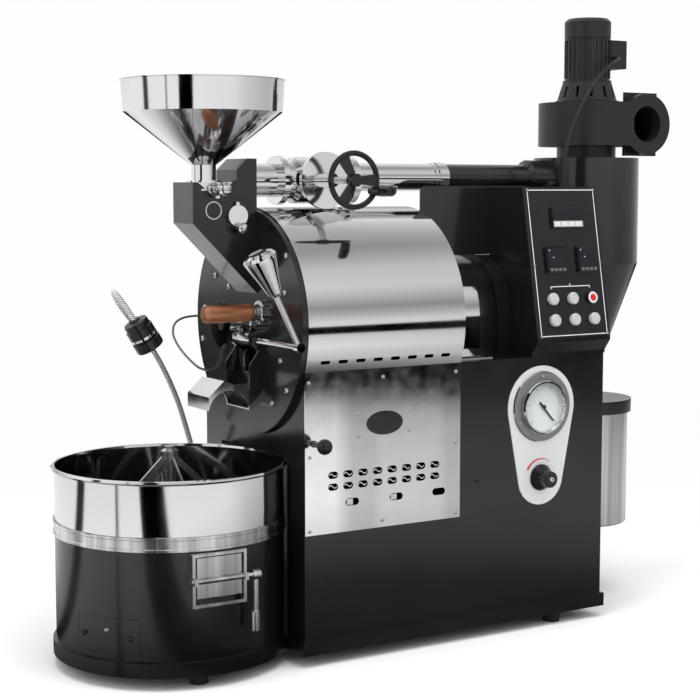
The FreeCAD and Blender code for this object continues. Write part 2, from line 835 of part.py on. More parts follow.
def discharge_door():
    """Door plate that hangs from the lever's rod by two ears, with a round window."""
    body = new_body("discharge_door", size.door_pivot_x, size.door_centre_y, door_pivot)
    half = size.door_width / 2
    back = front_face - size.door_pivot_x - 0.3
    front = back - size.door_plate
    top = size.door_pivot_drop - size.door_top_drop
    bottom = top - size.door_height
    plate = new_sketch(body, "YZ", front)
    draw_outline(plate, [(-half, top - 6), (-half + 6, top), (half - 6, top), (half, top - 6),
                         (half, top - 22), (half - 14, bottom + 8), (8, bottom), (6, bottom - 12),
                         (-6, bottom - 12), (-8, bottom), (-half + 14, bottom + 8), (-half, top - 22)])
    pad(body, plate, size.door_plate)
    window = new_sketch(body, "YZ", front)
    draw_circle(window, 0, top - size.door_height / 2, size.door_glass_radius)
    cut(body, window, size.door_plate)
    for y in (-half, half - 8):
        ear = new_sketch(body, "XZ", -y - 8)
        rod = size.door_rod_radius
        draw_outline(ear, [(-rod - 3, rod + 2), (-rod - 3, -rod - 2), (front, top - 10), (back, top - 10),
                           (back, -rod), (rod + 2, rod + 2)])
        pad(body, ear, 8)
    rod_hole = new_sketch(body, "XZ")
    draw_circle(rod_hole, 0, 0, size.door_rod_radius)
    cut(body, rod_hole, size.door_width * 2, middle=True)


def door_window():
    body = new_body("door_window", size.door_pivot_x, size.door_centre_y, door_pivot)
    back = front_face - size.door_pivot_x - 0.3
    top = size.door_pivot_drop - size.door_top_drop
    glass = new_sketch(body, "YZ", back - size.door_plate + 0.5)
    draw_circle(glass, 0, top - size.door_height / 2, size.door_glass_radius - 0.05)
    pad(body, glass, size.door_plate - 1)


def discharge_lever():
    """Rod across the front plate, bent up into an arm that ends in a weighted cone grip."""
    body = new_body("discharge_lever", size.door_pivot_x, size.lever_plane_y, door_pivot,
                    Vector(0, 1, 0), -size.lever_lean.number)
    rod = size.door_rod_radius
    inner_end = size.door_centre_y + size.door_width / 2 + 12 - size.lever_plane_y
    bar = new_sketch(body, "XZ")
    draw_circle(bar, 0, 0, rod)
    pad(body, bar, inner_end, along=False)
    knuckle = new_sketch(body, "XZ")
    draw_circle(knuckle, 0, 0, rod + 2.5)
    pad(body, knuckle, 14, middle=True)
    length = size.lever_arm_length
    grip = size.lever_grip_radius
    total = length + size.lever_grip_length
    spin(body, [(0, 0), (4.5, 0), (5, length - 5), (9, length - 5), (12, length), (grip - 1, total - 5),
                (grip, total), (grip - 4, total + 5), (grip - 12, total + 8), (0, total + 9)])


def discharge_trough():
    """Bright sheet spout that turns the beans down into the tray."""
    body = new_body("discharge_trough", front_face, size.door_centre_y, drum_axis)
    half = size.door_width / 2 + 3
    wall = size.trough_sheet
    reach = size.trough_reach
    top = -size.door_top_drop - size.door_height + 6
    side = new_sketch(body, "XZ")
    draw_outline(side, [(0, top - 22), (0, top - 44), (-reach * 0.26, top - 56, (size.trough_side_arc, False, False)),
                        (-reach, top - 53), (-reach, top - 30), (-reach * 0.72, top - 4),
                        (-reach * 0.58, top - 9), (-reach * 0.44, top - 17), (-size.cheek_reach - 1, top - 21)])
    pad(body, side, half * 2, middle=True)
    inside = new_sketch(body, "XZ")
    draw_outline(inside, [(0, top + 10), (0, top - 42), (-reach * 0.26, top - 54), (-reach * 0.26, top - 100),
                          (-reach + wall, top - 100), (-reach + wall, top - 31), (-reach * 0.71, top - 6),
                          (-reach * 0.58, top - 11), (-reach * 0.44, top - 19),
                          (-size.cheek_reach - 1, top - 23), (-size.cheek_reach - 1, top + 10)])
    cut(body, inside, (half - wall) * 2, middle=True)


# Charge chute, hopper and gate

def charge_chute():
    """Black chute that leads from the hopper down to the drum and up to the air pipe."""
    body = new_body("charge_chute", front_face, 0, drum_axis)
    reach = size.chute_reach
    wall = size.chute_sheet
    top = size.chute_top_above_axis
    nose = top - size.chute_nose_rise
    low = nose - reach
    outer = new_sketch(body, "XZ")
    draw_outline(outer, [(-reach, top), (-reach, nose), (0, low), (0, top + 40), (-18, top + 40),
                         (-38, top + 21), (-38, top)])
    pad(body, outer, size.chute_width, middle=True)
    inner = new_sketch(body, "XZ")
    draw_outline(inner, [(wall - reach, top - wall), (wall - reach, nose + wall * 0.4),
                         (-20, low + 20 + wall * 1.42), (0, low + 20 + wall * 1.42), (0, low + 70),
                         (-wall, low + 70), (-wall, top + 40 - wall), (-17, top + 40 - wall),
                         (-38 + wall, top + 20), (-38 + wall, top - wall)])
    cut(body, inner, size.chute_width - wall * 2, middle=True)
    neck = new_sketch(body, "XY", top - wall)
    draw_circle(neck, size.hopper_x - front_face, 0, size.hopper_neck_radius - size.hopper_sheet)
    cut(body, neck, wall)
    pipe = new_sketch(body, "YZ", -wall)
    draw_circle(pipe, 0, size.pipe_above_axis, size.pipe_front_radius - size.pipe_sheet)
    cut(body, pipe, wall)
    slot = new_sketch(body, "XZ", size.chute_width / 2 - wall)
    middle = size.hopper_x - front_face
    draw_rectangle(slot, middle - size.gate_width / 2 - 0.5, top - size.gate_drop - size.gate_thickness - 0.5,
                   middle + size.gate_width / 2 + 0.5, top - size.gate_drop + 0.5)
    cut(body, slot, wall)
    pivot = new_sketch(body, "XZ")
    draw_circle(pivot, size.charge_lever_x - front_face, top - size.charge_lever_drop, 4 + size.running_gap)
    cut(body, pivot, size.chute_width)


def hopper():
    """Polished funnel: neck with a seat flange, cone, upright band and a folded rim."""
    body = new_body("hopper", size.hopper_x, 0, chute_top)
    wall = size.hopper_sheet
    neck = size.hopper_neck_radius
    cone_foot = size.hopper_neck_rise
    cone_top = cone_foot + size.hopper_cone_rise
    top = cone_top + size.hopper_band_rise
    band = size.hopper_band_radius
    rim = size.hopper_rim_radius
    spin(body, [(neck - wall, 0), (neck + 9, 0), (neck + 9, 3), (neck, 3), (neck, cone_foot), (band, cone_top),
                (rim - 2, top - 2), (rim, top - 2), (rim, top), (rim - 2 - wall, top),
                (band - wall, cone_top + 0.8), (neck - wall, cone_foot + 0.8)])


def hopper_gate():
    """Sliding gate under the hopper, with its triangular pull plate and ball."""
    body = new_body("hopper_gate", size.hopper_x, 0, chute_top - size.gate_drop)
    half = size.gate_width / 2
    thick = size.gate_thickness
    face = size.chute_width / 2 + 0.4
    blade = new_sketch(body, "XY")
    draw_rectangle(blade, -half, -face, half, size.hopper_neck_radius + 8)
    pad(body, blade, thick, along=False)
    pull = new_sketch(body, "XZ", face)
    draw_outline(pull, [(-half - 8, 11), (4, -16), (8, -16), (half + 10, 11)])
    pad(body, pull, 2)
    stem = new_sketch(body, "XZ", face + 2)
    draw_circle(stem, 8, -1.5, 3.5)
    pad(body, stem, 10)
    add_ball(body, 8, -face - 10 - size.knob_ball_radius, -1.5, size.knob_ball_radius + 0.8)


def charge_lever():
    """Round boss with a ball lever that turns the flap inside the chute."""
    body = new_body("charge_lever", size.charge_lever_x, -size.chute_width / 2, chute_top - size.charge_lever_drop)
    boss = new_sketch(body, "XZ", 0.4)
    draw_circle(boss, 0, 0, size.charge_boss_radius)
    pad(body, boss, 9)
    bar = new_sketch(body, "XZ", 3)
    draw_rectangle(bar, -3, -22, 3, 23)
    pad(body, bar, 5)
    stem = new_sketch(body, "XZ", 4)
    draw_circle(stem, 2, -19, 3)
    pad(body, stem, 8)
    add_ball(body, 3, -19, -21, size.knob_ball_radius - 2.5)
    shaft = new_sketch(body, "XZ", 0.4)
    draw_circle(shaft, 0, 0, 4)
    pad(body, shaft, size.chute_width - size.chute_sheet - 2, along=False)
    flap = new_sketch(body, "XZ", -size.chute_sheet - 1)
    draw_rectangle(flap, -1.5, -34, 1.5, 30)
    pad(body, flap, size.chute_width - size.chute_sheet * 2 - 2, along=False)


# Air pipe, damper and hand wheel

def damper_body():
    """Front pipe and valve body, with a side cover that carries the wheel's spindle."""
    body = new_body("damper_body", front_face, 0, pipe_axis, *ALONG_X)
    start = size.damper_x - size.damper_half_length - front_face
    middle = size.damper_x - front_face
    end = middle + size.damper_half_length
    flange = size.damper_flange_radius
    waist = size.damper_waist_radius
    bore = size.pipe_front_radius
    spin(body, [(bore - size.pipe_sheet, 0), (bore, 0), (bore, start), (flange, start), (flange, start + 12),
                (waist, start + 16), (waist, start + 28), (flange - 2, start + 36), (flange - 2, end - 36),
                (waist, end - 28), (waist, end - 16), (flange, end - 12), (flange, end), (bore - size.pipe_sheet, end)])
    cover_y = size.damper_cover_y
    neck = new_sketch(body, "XZ", bore + 2)
    draw_circle(neck, 0, middle, size.damper_waist_radius)
    pad(body, neck, cover_y - bore - 2)
    disc = new_sketch(body, "XZ", cover_y)
    draw_circle(disc, 0, middle, size.damper_cover_radius)
    pad(body, disc, 8)
    boss = new_sketch(body, "XZ", cover_y + 8)
    draw_circle(boss, 0, middle, size.spindle_radius + 6)
    pad(body, boss, 24)
    hole = new_sketch(body, "XZ", -size.damper_flange_radius)
    draw_circle(hole, 0, middle, size.spindle_radius + size.running_gap)
    cut(body, hole, size.damper_flange_radius + cover_y + 40)


def damper_spindle():
    """Spindle through the damper with the butterfly plate on it."""
    body = new_body("damper_spindle", size.damper_x, -size.wheel_y, pipe_axis)
    far = size.wheel_y + size.pipe_front_radius + 4
    rod = new_sketch(body, "XZ")
    draw_circle(rod, 0, 0, size.spindle_radius)
    pad(body, rod, far, along=False)
    plate_radius = size.pipe_front_radius - size.pipe_sheet - 1
    plate = new_sketch(body, "XY")
    draw_circle(plate, 0, size.wheel_y, plate_radius)
    pad(body, plate, 3, middle=True)


def damper_handwheel():
    """Hand wheel: round rim, three broad spokes, hub and the pin of the crank grip."""
    body = new_body("damper_handwheel", size.damper_x, -size.wheel_y, pipe_axis, *TOWARDS_CONTROLS)
    rim = size.wheel_rim_radius
    centre = size.wheel_radius - rim
    ring_sketch = new_sketch(body, "XZ")
    draw_circle(ring_sketch, centre, 0, rim)
    ring = body.newObject("PartDesign::Revolution", "wheel_rim")
    ring.Profile = ring_sketch
    ring.ReferenceAxis = (ring_sketch, ["V_Axis"])
    ring.Angle = 360
    hub = new_sketch(body, "XY", -8)
    draw_circle(hub, 0, 0, size.spindle_radius + 5)
    pad(body, hub, 18)
    spoke = new_sketch(body, "XY", -2)
    draw_outline(spoke, [(0, -5), (centre, -11), (centre, 11), (0, 5)])
    ring_of(body, pad(body, spoke, 5), 3)
    lean = Size(-27.0, "(-27.0)")
    pin = new_sketch(body, "XY", -3)
    draw_circle(pin, size.crank_radius * cosine(lean), size.crank_radius * sine(lean), 7)
    pad(body, pin, size.wheel_rim_radius + 3.5)
    shank = new_sketch(body, "XY", 0)
    draw_circle(shank, size.crank_radius * cosine(lean), size.crank_radius * sine(lean), 3)
    pad(body, shank, size.crank_grip_length + 8)
    hole = new_sketch(body, "XY", -8)
    draw_circle(hole, 0, 0, size.spindle_radius)
    cut(body, hole, 8)


def crank_grip():
    """Loose grip that turns on the wheel's pin."""
    lean = Size(-27.0, "(-27.0)")
    body = new_body("crank_grip", size.damper_x + size.crank_radius * cosine(lean),
                    -size.wheel_y - size.wheel_rim_radius - 0.9,
                    pipe_axis + size.crank_radius * sine(lean), *TOWARDS_CONTROLS)
    grip = size.crank_grip_radius
    length = size.crank_grip_length
    bore = 3 + size.running_gap
    spin(body, [(bore, 0), (grip - 2.5, 0), (grip - 1.2, 4), (grip, length * 0.45), (grip - 0.6, length - 6),
                (grip - 3, length - 1), (grip - 5, length), (bore, length)])


def air_pipe_rear():
    """Bright pipe behind the damper, with the collar that joins the black pipe."""
    start = size.damper_x + size.damper_half_length
    body = new_body("air_pipe_rear", start, 0, pipe_rear_axis, *ALONG_X)
    length = size.pipe_chrome_end_x - start
    outer = size.pipe_rear_radius
    collar = size.pipe_collar_radius
    band = length - size.pipe_collar_length
    spin(body, [(outer - size.pipe_sheet, 0), (outer, 0), (outer, band - 9), (collar - 1.5, band - 9),
                (collar - 1.5, band - 2), (outer, band - 2), (outer, band), (collar, band), (collar, length),
                (outer - size.pipe_sheet, length)])


def rear_duct():
    """Black pipe on to the cyclone, widening into its inlet box."""
    start = size.pipe_chrome_end_x
    body = new_body("rear_duct", start, 0, pipe_rear_axis, *ALONG_X)
    outer = size.pipe_rear_radius
    inner = outer - size.pipe_sheet
    end = size.cyclone_x - size.cyclone_radius - start
    sleeve = end - 52
    spin(body, [(inner, 0), (outer, 0), (outer, sleeve), (outer + 9, sleeve + 6), (outer + 9, end + 4),
                (inner, end + 4)])


# Cyclone, fan and chaff can

def cyclone():
    """Hollow cyclone: neck ring, barrel, cone and spout down to the lid of the can."""
    top = size.cyclone_top_z
    body = new_body("cyclone", size.cyclone_x, 0, top)
    wall = size.cyclone_sheet
    barrel = size.cyclone_radius
    spout = size.cyclone_spout_radius
    cone_top = -size.cyclone_barrel_rise
    cone_foot = cone_top - size.cyclone_cone_rise
    foot = cone_foot - (top + cone_foot - can_lid_top)
    neck = size.fan_neck_radius
    spin(body, [(neck - 5, 0), (barrel, 0), (barrel, cone_top), (spout, cone_foot), (spout, foot),
                (spout - wall, foot), (spout - wall, cone_foot), (barrel - wall, cone_top + 1),
                (barrel - wall, -wall), (neck - 5, -wall)])
    inlet = new_sketch(body, "YZ")
    draw_circle(inlet, 0, pipe_rear_axis - top, size.pipe_rear_radius + 9.3)
    cut(body, inlet, barrel + 1, along=False)


def canister_lid():
    """Fixed lid under the cyclone's spout that the can hangs from, with its wall bracket."""
    top = can_lid_top
    body = new_body("canister_lid", size.cyclone_x, 0, top - size.can_lid_rise)
    lid = size.can_lid_radius
    rise = size.can_lid_rise
    bore = size.cyclone_spout_radius - size.cyclone_sheet
    spin(body, [(bore, rise - 3), (lid - 3, rise - 3), (lid - 3, 0), (lid, 0), (lid, rise), (bore, rise)])
    bracket = new_sketch(body, "XY", rise)
    wall_x = size.cabinet_length - size.cyclone_x
    half = size.can_bracket_width / 2
    draw_rectangle(bracket, wall_x, -half, -lid + 20, half)
    pad(body, bracket, 3, along=False)


def chaff_can():
    """Bright can for the chaff, open at the top under the lid."""
    top = can_lid_top - 3.3
    body = new_body("chaff_can", size.cyclone_x, 0, top - size.can_rise)
    outer = size.can_radius
    wall = size.can_sheet
    rise = size.can_rise
    spin(body, [(0, 0), (outer - 2, 0), (outer, 2), (outer, rise), (outer - wall, rise), (outer - wall, wall + 1),
                (0, wall + 1)])


def volute_outline(sketch, shrink, mouth):
    """Draw the snail outline from four quarter arcs whose centres step round a square."""
    step = size.volute_step
    first = size.volute_radius - shrink
    half = step / 2
    east = first + step * 3 + half
    draw_outline(sketch, [(half, -first - half, (first, True, False)),
                          (-first - half + step, -half, (first + step, True, False)),
                          (half, first + step + half, (first + step * 2, True, False)),
                          (first + step * 2 + half, half),
                          (first + step * 2 + half, -mouth),
                          (size.volute_step * 2 + 24 - shrink, -mouth),
                          (size.volute_step * 2 + 24 - shrink, -first - half)])
    return east


def fan_volute():
    """Fan case with its neck, snail, square outlet flange and round collar."""
    body = new_body("fan_volute", size.cyclone_x, 0, size.cyclone_top_z)
    wall = size.volute_sheet
    neck = size.fan_neck_radius
    rise = size.fan_neck_rise
    neck_ring = new_sketch(body, "XY")
    draw_circle(neck_ring, 0, 0, neck)
    pad(body, neck_ring, rise)
    snail = new_sketch(body, "XY", rise)
    volute_outline(snail, 0, size.outlet_reach - 4)
    pad(body, snail, size.volute_rise)
    middle_x = outlet_x() - size.cyclone_x
    middle_z = rise + size.volute_rise / 2
    flange = new_sketch(body, "XZ", size.outlet_reach - 4)
    half = size.outlet_flange_width / 2
    tall = size.outlet_flange_rise / 2
    draw_rectangle(flange, middle_x - half, middle_z - tall, middle_x + half, middle_z + tall)
    pad(body, flange, 4)
    collar = new_sketch(body, "XZ", size.outlet_reach)
    draw_circle(collar, middle_x, middle_z, size.outlet_collar_radius)
    pad(body, collar, size.outlet_collar_reach)
    cavity = new_sketch(body, "XY", rise + wall)
    volute_outline(cavity, wall, size.outlet_reach - 4)
    cut(body, cavity, size.volute_rise - wall * 2)
    eye = new_sketch(body, "XY")
    draw_circle(eye, 0, 0, neck - 5)
    cut(body, eye, rise + wall)
    mouth = new_sketch(body, "XZ", size.outlet_reach - 4)
    draw_circle(mouth, middle_x, middle_z, size.outlet_bore_radius)
    cut(body, mouth, size.outlet_collar_reach + 5)
    shaft = new_sketch(body, "XY", rise + size.volute_rise - wall - 1)
    draw_circle(shaft, 0, 0, 8.4)
    cut(body, shaft, wall + 2)


def outlet_x():
    """Middle of the outlet between the snail's outer wall and its tongue."""
    east = size.volute_radius + size.volute_step * 2.5
    west = size.volute_step * 2 + 24
    return size.cyclone_x + (east + west) / 2


def fan_impeller():
    """Bladed wheel on the motor's shaft."""
    body = new_body("fan_impeller", size.cyclone_x, 0, volute_z + size.volute_sheet + 4)
    reach = size.volute_radius - 21
    depth = size.volute_rise - size.volute_sheet * 2 - 12
    top = size.volute_rise + 8
    spin(body, [(0, depth - 20), (18, depth - 20), (18, depth - 3), (reach, depth - 3), (reach, depth),
                (8, depth), (8, top), (0, top)])
    blade = new_sketch(body, "XY")
    draw_rectangle(blade, size.fan_neck_radius - 4, -1.2, reach - 1, 1.2)
    ring_of(body, pad(body, blade, depth - 2), 12)


def fan_motor():
    """Finned motor on a slotted bell, with a cap and a side terminal box."""
    body = new_body("fan_motor", size.cyclone_x, 0, volute_top)
    motor = size.motor_radius
    bell = size.fan_bell_rise
    top = bell + size.motor_rise
    cap = size.motor_cap_radius
    cap_top = top + size.motor_cap_rise
    spin(body, [(0, 24), (40, 24), (46, 5), (8.5, 5), (8.5, 0), (61, 0), (61, 4), (57, 6), (motor + 4, bell - 4),
                (motor + 4, bell), (motor, bell + 1), (motor, top), (cap, top + 1), (cap, cap_top - 6),
                (cap - 6, cap_top), (0, cap_top)])
    slot = new_sketch(body, "YZ", 30)
    draw_rectangle(slot, -3, 10, 3, bell - 12)
    ring_of(body, cut(body, slot, 35), 12)
    fin = new_sketch(body, "XY", bell + 4)
    draw_rectangle(fin, motor - 1, -1, motor + 1.6, 1)
    ring_of(body, pad(body, fin, size.motor_rise - 6), size.motor_fin_count)
    box = new_sketch(body, "XY", bell + 24)
    draw_rectangle(box, motor - 8, -28, motor + 32, 28)
    pad(body, box, 54)


# Console, instruments and buttons

BUTTON_PLACES = [(0, 0), (1, 0), (2, 0), (0, 1), (1, 1)]


def control_console():
    """Folded console with a leaning front, carried by the cabinet's deck."""
    body = new_body("control_console", console_x, 0, deck)
    side = new_sketch(body, "YZ")
    draw_outline(side, [(size.console_foot_y, size.console_foot_rise), (size.console_foot_y, size.console_foot_rise - 8),
                        (-half_width, 6), (-half_width, 0), (size.console_back_y, 0),
                        (size.console_back_y, size.console_top_rise),
                        (size.console_top_y, size.console_top_rise)])
    pad(body, side, size.console_length)
    inside = new_sketch(body, "YZ", 3)
    draw_outline(inside, [(size.console_foot_y + 34, 3), (size.console_foot_y + 34, size.console_foot_rise + 90),
                          (size.console_top_y + 16, size.console_top_rise - 12),
                          (size.console_back_y - 3, size.console_top_rise - 12), (size.console_back_y - 3, 3)])
    cut(body, inside, size.console_length - 6)
    for column, row in BUTTON_PLACES:
        button_well(body, column, row)


def face_point(u, v):
    """Point on the console's leaning face, from its lower front corner."""
    lean_y = size.console_top_y - size.console_foot_y
    lean_z = size.console_top_rise - size.console_foot_rise
    slant = root(lean_y * lean_y + lean_z * lean_z)
    return (console_x + u, size.console_foot_y + lean_y * v / slant, console_foot + lean_z * v / slant)


def face_turn():
    """Turn about X that lays a piece's front on the console's leaning face."""
    lean_y = size.console_top_y - size.console_foot_y
    lean_z = size.console_top_rise - size.console_foot_rise
    return -math.degrees(math.atan2(lean_y.number, lean_z.number))


def button_well(body, column, row):
    """Round well in the leaning face that a push button slides in."""
    x = size.button_first_x + size.button_pitch_x * column
    v = size.button_first_z + size.button_pitch_z * row
    place_x, place_y, place_z = face_point(x, v)
    well = body.newObject("PartDesign::SubtractiveCylinder", "button_well")
    well.Radius = size.button_radius.number + 0.3
    well.setExpression("Radius", (size.button_radius - 1 + 0.3).formula)
    well.Height = 14
    well.Angle = 360
    turn = Rotation(Vector(1, 0, 0), face_turn()) * Rotation(Vector(1, 0, 0), -90)
    inward = Rotation(Vector(1, 0, 0), face_turn()).multVec(Vector(0, -1, 0))
    spot = Vector((place_x - console_x).number, place_y.number, (place_z - deck).number)
    well.Placement = Placement(spot + inward * 1.0, turn)


def push_buttons():
    """Five round buttons, each a cap with a stem that slides into the face."""
    for number, (column, row) in enumerate(BUTTON_PLACES, start=1):
        u = size.button_first_x + size.button_pitch_x * column
        v = size.button_first_z + size.button_pitch_z * row
        x, y, z = face_point(u, v)
        body = new_body(f"push_button_{number}", x, y, z, Vector(1, 0, 0), face_turn() + 90)
        cap = size.button_radius
        stem = cap - 1
        gap = size.button_travel + 0.4
        spin(body, [(0, -6), (stem, -6), (stem, gap), (cap, gap), (cap, gap + size.button_proud - 2),
                    (cap - 2, gap + size.button_proud), (0, gap + size.button_proud)])


def panel_instruments():
    """Timer, two temperature controllers and the pilot lamp, proud of the console's face."""
    shapes = []
    first_u = size.controller_first_x
    pairs = ((first_u, size.controller_z, size.controller_width, size.controller_width),
             (first_u + size.controller_pitch, size.controller_z, size.controller_width, size.controller_width),
             (size.timer_x, size.timer_z, size.timer_length, size.timer_rise))
    for u, v, wide, tall in pairs:
        block = Part.makeBox(wide.number, size.instrument_proud.number, tall.number,
                             Vector(u.number, -size.instrument_proud.number, v.number))
        edges = [edge for edge in block.Edges
                 if abs(edge.BoundBox.YMin + size.instrument_proud.number) < 0.01 and edge.BoundBox.YLength < 0.01]
        shapes.append(block.makeChamfer(2.0, edges))
    lamp_u = size.button_first_x.number + size.button_pitch_x.number * 2
    lamp_v = size.button_first_z.number + size.button_pitch_z.number
    shapes.append(Part.makeCylinder(size.button_radius.number, size.button_proud.number,
                                    Vector(lamp_u, 0, lamp_v), Vector(0, -1, 0)))
    feature = document.addObject("Part::Feature", "panel_instruments")
    feature.Label = "panel_instruments"
    feature.Shape = Part.makeCompound(shapes)
    x, y, z = face_point(0, 0)
    place(feature, x, y, z, Vector(1, 0, 0), face_turn())
    finished.append(feature)


def screen_plate():
    """Upright black screen between the drum side and the console, its front corner round."""
    body = new_body("screen_plate", 0, size.console_back_y, deck)
    low = size.drum_axis_rise + root(size.housing_flange_radius * size.housing_flange_radius
                                     - size.console_back_y * size.console_back_y) + 0.5
    top = size.console_top_rise + 2
    corner = 7
    start = size.cover_length + size.screen_gap
    end = start + size.screen_length
    step = flange_end + size.console_gap
    plate = new_sketch(body, "XZ")
    draw_outline(plate, [(start, low), (step, low), (step, 0), (end, 0), (end, top), (start + corner, top, (corner, True, False)),
                         (start, top - corner)])
    pad(body, plate, size.screen_sheet, along=False)


# Gauge, gas knob and shutter knob

def tangent_plate(sketch, x, upper_z, upper_radius, lower_z, lower_radius):
    """Draw the outline that wraps a larger circle above a smaller one."""
    slope = (upper_radius - lower_radius) / (upper_z - lower_z)
    level = root(1 - slope * slope)
    upper_y = upper_z - upper_radius * slope
    lower_y = lower_z - lower_radius * slope
    draw_outline(sketch, [(x + upper_radius * level, upper_y, (upper_radius, False, True)),
                          (x - upper_radius * level, upper_y),
                          (x - lower_radius * level, lower_y, (lower_radius, False, False)),
                          (x + lower_radius * level, lower_y)])


def gauge_plate():
    body = new_body("gauge_plate", size.gauge_x, -half_width, plinth_top)
    face = new_sketch(body, "XZ")
    tangent_plate(face, sized(0), size.gauge_rise, size.gauge_plate_radius, size.gas_knob_rise, size.gas_plate_radius)
    pad(body, face, size.panel_sheet)


def pressure_gauge():
    """Gauge case: screwed flange, bezel and the recessed dial face."""
    body = new_body("pressure_gauge", size.gauge_x, -half_width - size.panel_sheet, plinth_top + size.gauge_rise,
                    *TOWARDS_CONTROLS)
    flange = size.gauge_flange_radius
    case = size.gauge_case_radius
    dial = size.gauge_dial_radius
    proud = size.gauge_proud
    spin(body, [(0, 0), (flange, 0), (flange, 1.5), (flange - 1.5, 3), (case, 3), (case, proud - 2),
                (case - 2, proud), (dial + 1, proud), (dial, proud - 2), (dial, 5), (0, 5)])


def gauge_glass():
    body = new_body("gauge_glass", size.gauge_x, -half_width - size.panel_sheet, plinth_top + size.gauge_rise,
                    *TOWARDS_CONTROLS)
    face = new_sketch(body, "XY", size.gauge_proud - 4)
    draw_circle(face, 0, 0, size.gauge_dial_radius - 0.05)
    pad(body, face, 2)


def gauge_pointer():
    """Thin pointer with a round hub between the dial and the glass."""
    body = new_body("gauge_pointer", size.gauge_x, -half_width - size.panel_sheet, plinth_top + size.gauge_rise,
                    *TOWARDS_CONTROLS)
    hub = new_sketch(body, "XY", 5.3)
    draw_circle(hub, 0, 0, 4)
    pad(body, hub, 3)
    hand = new_sketch(body, "XY", 6.3)
    draw_outline(hand, [(-8, 10), (-11, 7), (20, -26.5), (22.5, -27), (22, -24.5)])
    pad(body, hand, 1)


def gas_knob():
    """Knob with a wide skirt and a fluted grip."""
    body = new_body("gas_knob", size.gauge_x, -half_width - size.panel_sheet, plinth_top + size.gas_knob_rise,
                    *TOWARDS_CONTROLS)
    skirt = size.gas_knob_radius
    reach = size.gas_knob_reach
    spin(body, [(0, 0.4), (skirt, 0.4), (skirt, 3), (skirt - 8, 12), (skirt - 9, reach - 2), (skirt - 11, reach),
                (0, reach)])
    flute = new_sketch(body, "XY", reach)
    draw_circle(flute, skirt - 6.5, 0, 3.6)
    ring_of(body, cut(body, flute, reach - 13, along=False), 12)


def shutter_knob():
    """Air shutter stem through the burner panel, with a ball on its end."""
    body = new_body("shutter_knob", size.shutter_x, -half_width - size.panel_sheet,
                    plinth_top + size.shutter_rise, *TOWARDS_CONTROLS)
    stem = size.shutter_stem_radius
    reach = size.shutter_reach
    ball = size.knob_ball_radius + 0.5
    centre = reach - ball
    touch = centre - root(ball * ball - stem * stem)
    spin(body, [(0, -size.shutter_inner_reach), (stem, -size.shutter_inner_reach), (stem, touch, (ball, False, False)),
                (0, centre + ball)])


# Cooling tray, bin, rake and outlet

def cooling_tray():
    """Bright tray wall with a rolled rim, standing on the bin inside the clamp band."""
    body = new_body("cooling_tray", size.tray_x, 0, 0)
    outer = size.tray_wall_radius
    inner = outer - size.tray_sheet
    rim = size.tray_rim_radius
    top = size.tray_rim_z
    spin(body, [(inner, size.band_z), (outer, size.band_z), (outer, top - 8), (rim - 2, top - 7), (rim, top - 4),
                (rim - 2, top - 1), (rim - 5, top), (outer - 1, top - 1), (inner, top - 5)])


def tray_floor():
    """Slotted floor with a bearing boss below it for the rake."""
    body = new_body("tray_floor", size.tray_x, 0, size.tray_floor_z)
    edge = size.tray_wall_radius - size.bin_sheet - 0.3
    bore = size.rake_post_radius + size.running_gap
    sheet_z = size.tray_floor_sheet
    spin(body, [(bore, -30), (20, -30), (20, -sheet_z), (edge, -sheet_z), (edge, 0), (bore, 0)])
    for distance, count in ((36, 12), (76, 20), (116, 28), (152, 36)):
        slot = new_sketch(body, "XY", -size.tray_floor_sheet)
        draw_rectangle(slot, distance, -2.5, distance + 26, 2.5)
        ring_of(body, cut(body, slot, sheet_z), count)


def clamp_band():
    """Bright band that clamps the tray wall to the bin."""
    body = new_body("clamp_band", size.tray_x, 0, size.band_z)
    inner = size.tray_wall_radius
    outer = inner + size.band_sheet
    rise = size.band_rise
    spin(body, [(inner, 0), (outer, 0), (outer, 4), (outer - 1, 5), (outer - 1, rise - 5), (outer, rise - 4),
                (outer, rise), (inner, rise)])


def tray_bin():
    """Black bin under the tray, open for the outlet gate and the chaff drawer."""
    body = new_body("tray_bin", size.tray_x, 0, plinth_top)
    outer = size.tray_wall_radius
    inner = outer - size.bin_sheet
    rise = size.band_z - plinth_top
    spin(body, [(inner - 10, 0), (outer, 0), (outer, rise), (inner, rise), (inner, size.bin_sheet),
                (inner - 10, size.bin_sheet)])
    gate = new_sketch(body, "XZ")
    half = size.outlet_gate_width / 2 - 8
    middle = size.outlet_gate_x - size.tray_x
    sill = size.tray_floor_z - plinth_top
    draw_rectangle(gate, middle - half, sill, middle + half, size.outlet_gate_z + size.outlet_gate_rise - plinth_top - 8)
    cut(body, gate, outer + 5)
    drawer = new_sketch(body, "XY", size.drawer_z - plinth_top)
    sector_outline(drawer, inner - 12, outer + 12, size.drawer_half_angle)
    cut(body, drawer, size.drawer_rise)


def sector_outline(sketch, inner, outer, half_angle, shrink=0.0):
    """Draw a sector of a ring about the drawer's direction."""
    left = size.drawer_angle - half_angle + shrink
    right = size.drawer_angle + half_angle - shrink
    draw_outline(sketch, [(outer * cosine(left), outer * sine(left), (outer, False, False)),
                          (outer * cosine(right), outer * sine(right)),
                          (inner * cosine(right), inner * sine(right), (inner, True, False)),
                          (inner * cosine(left), inner * sine(left))])


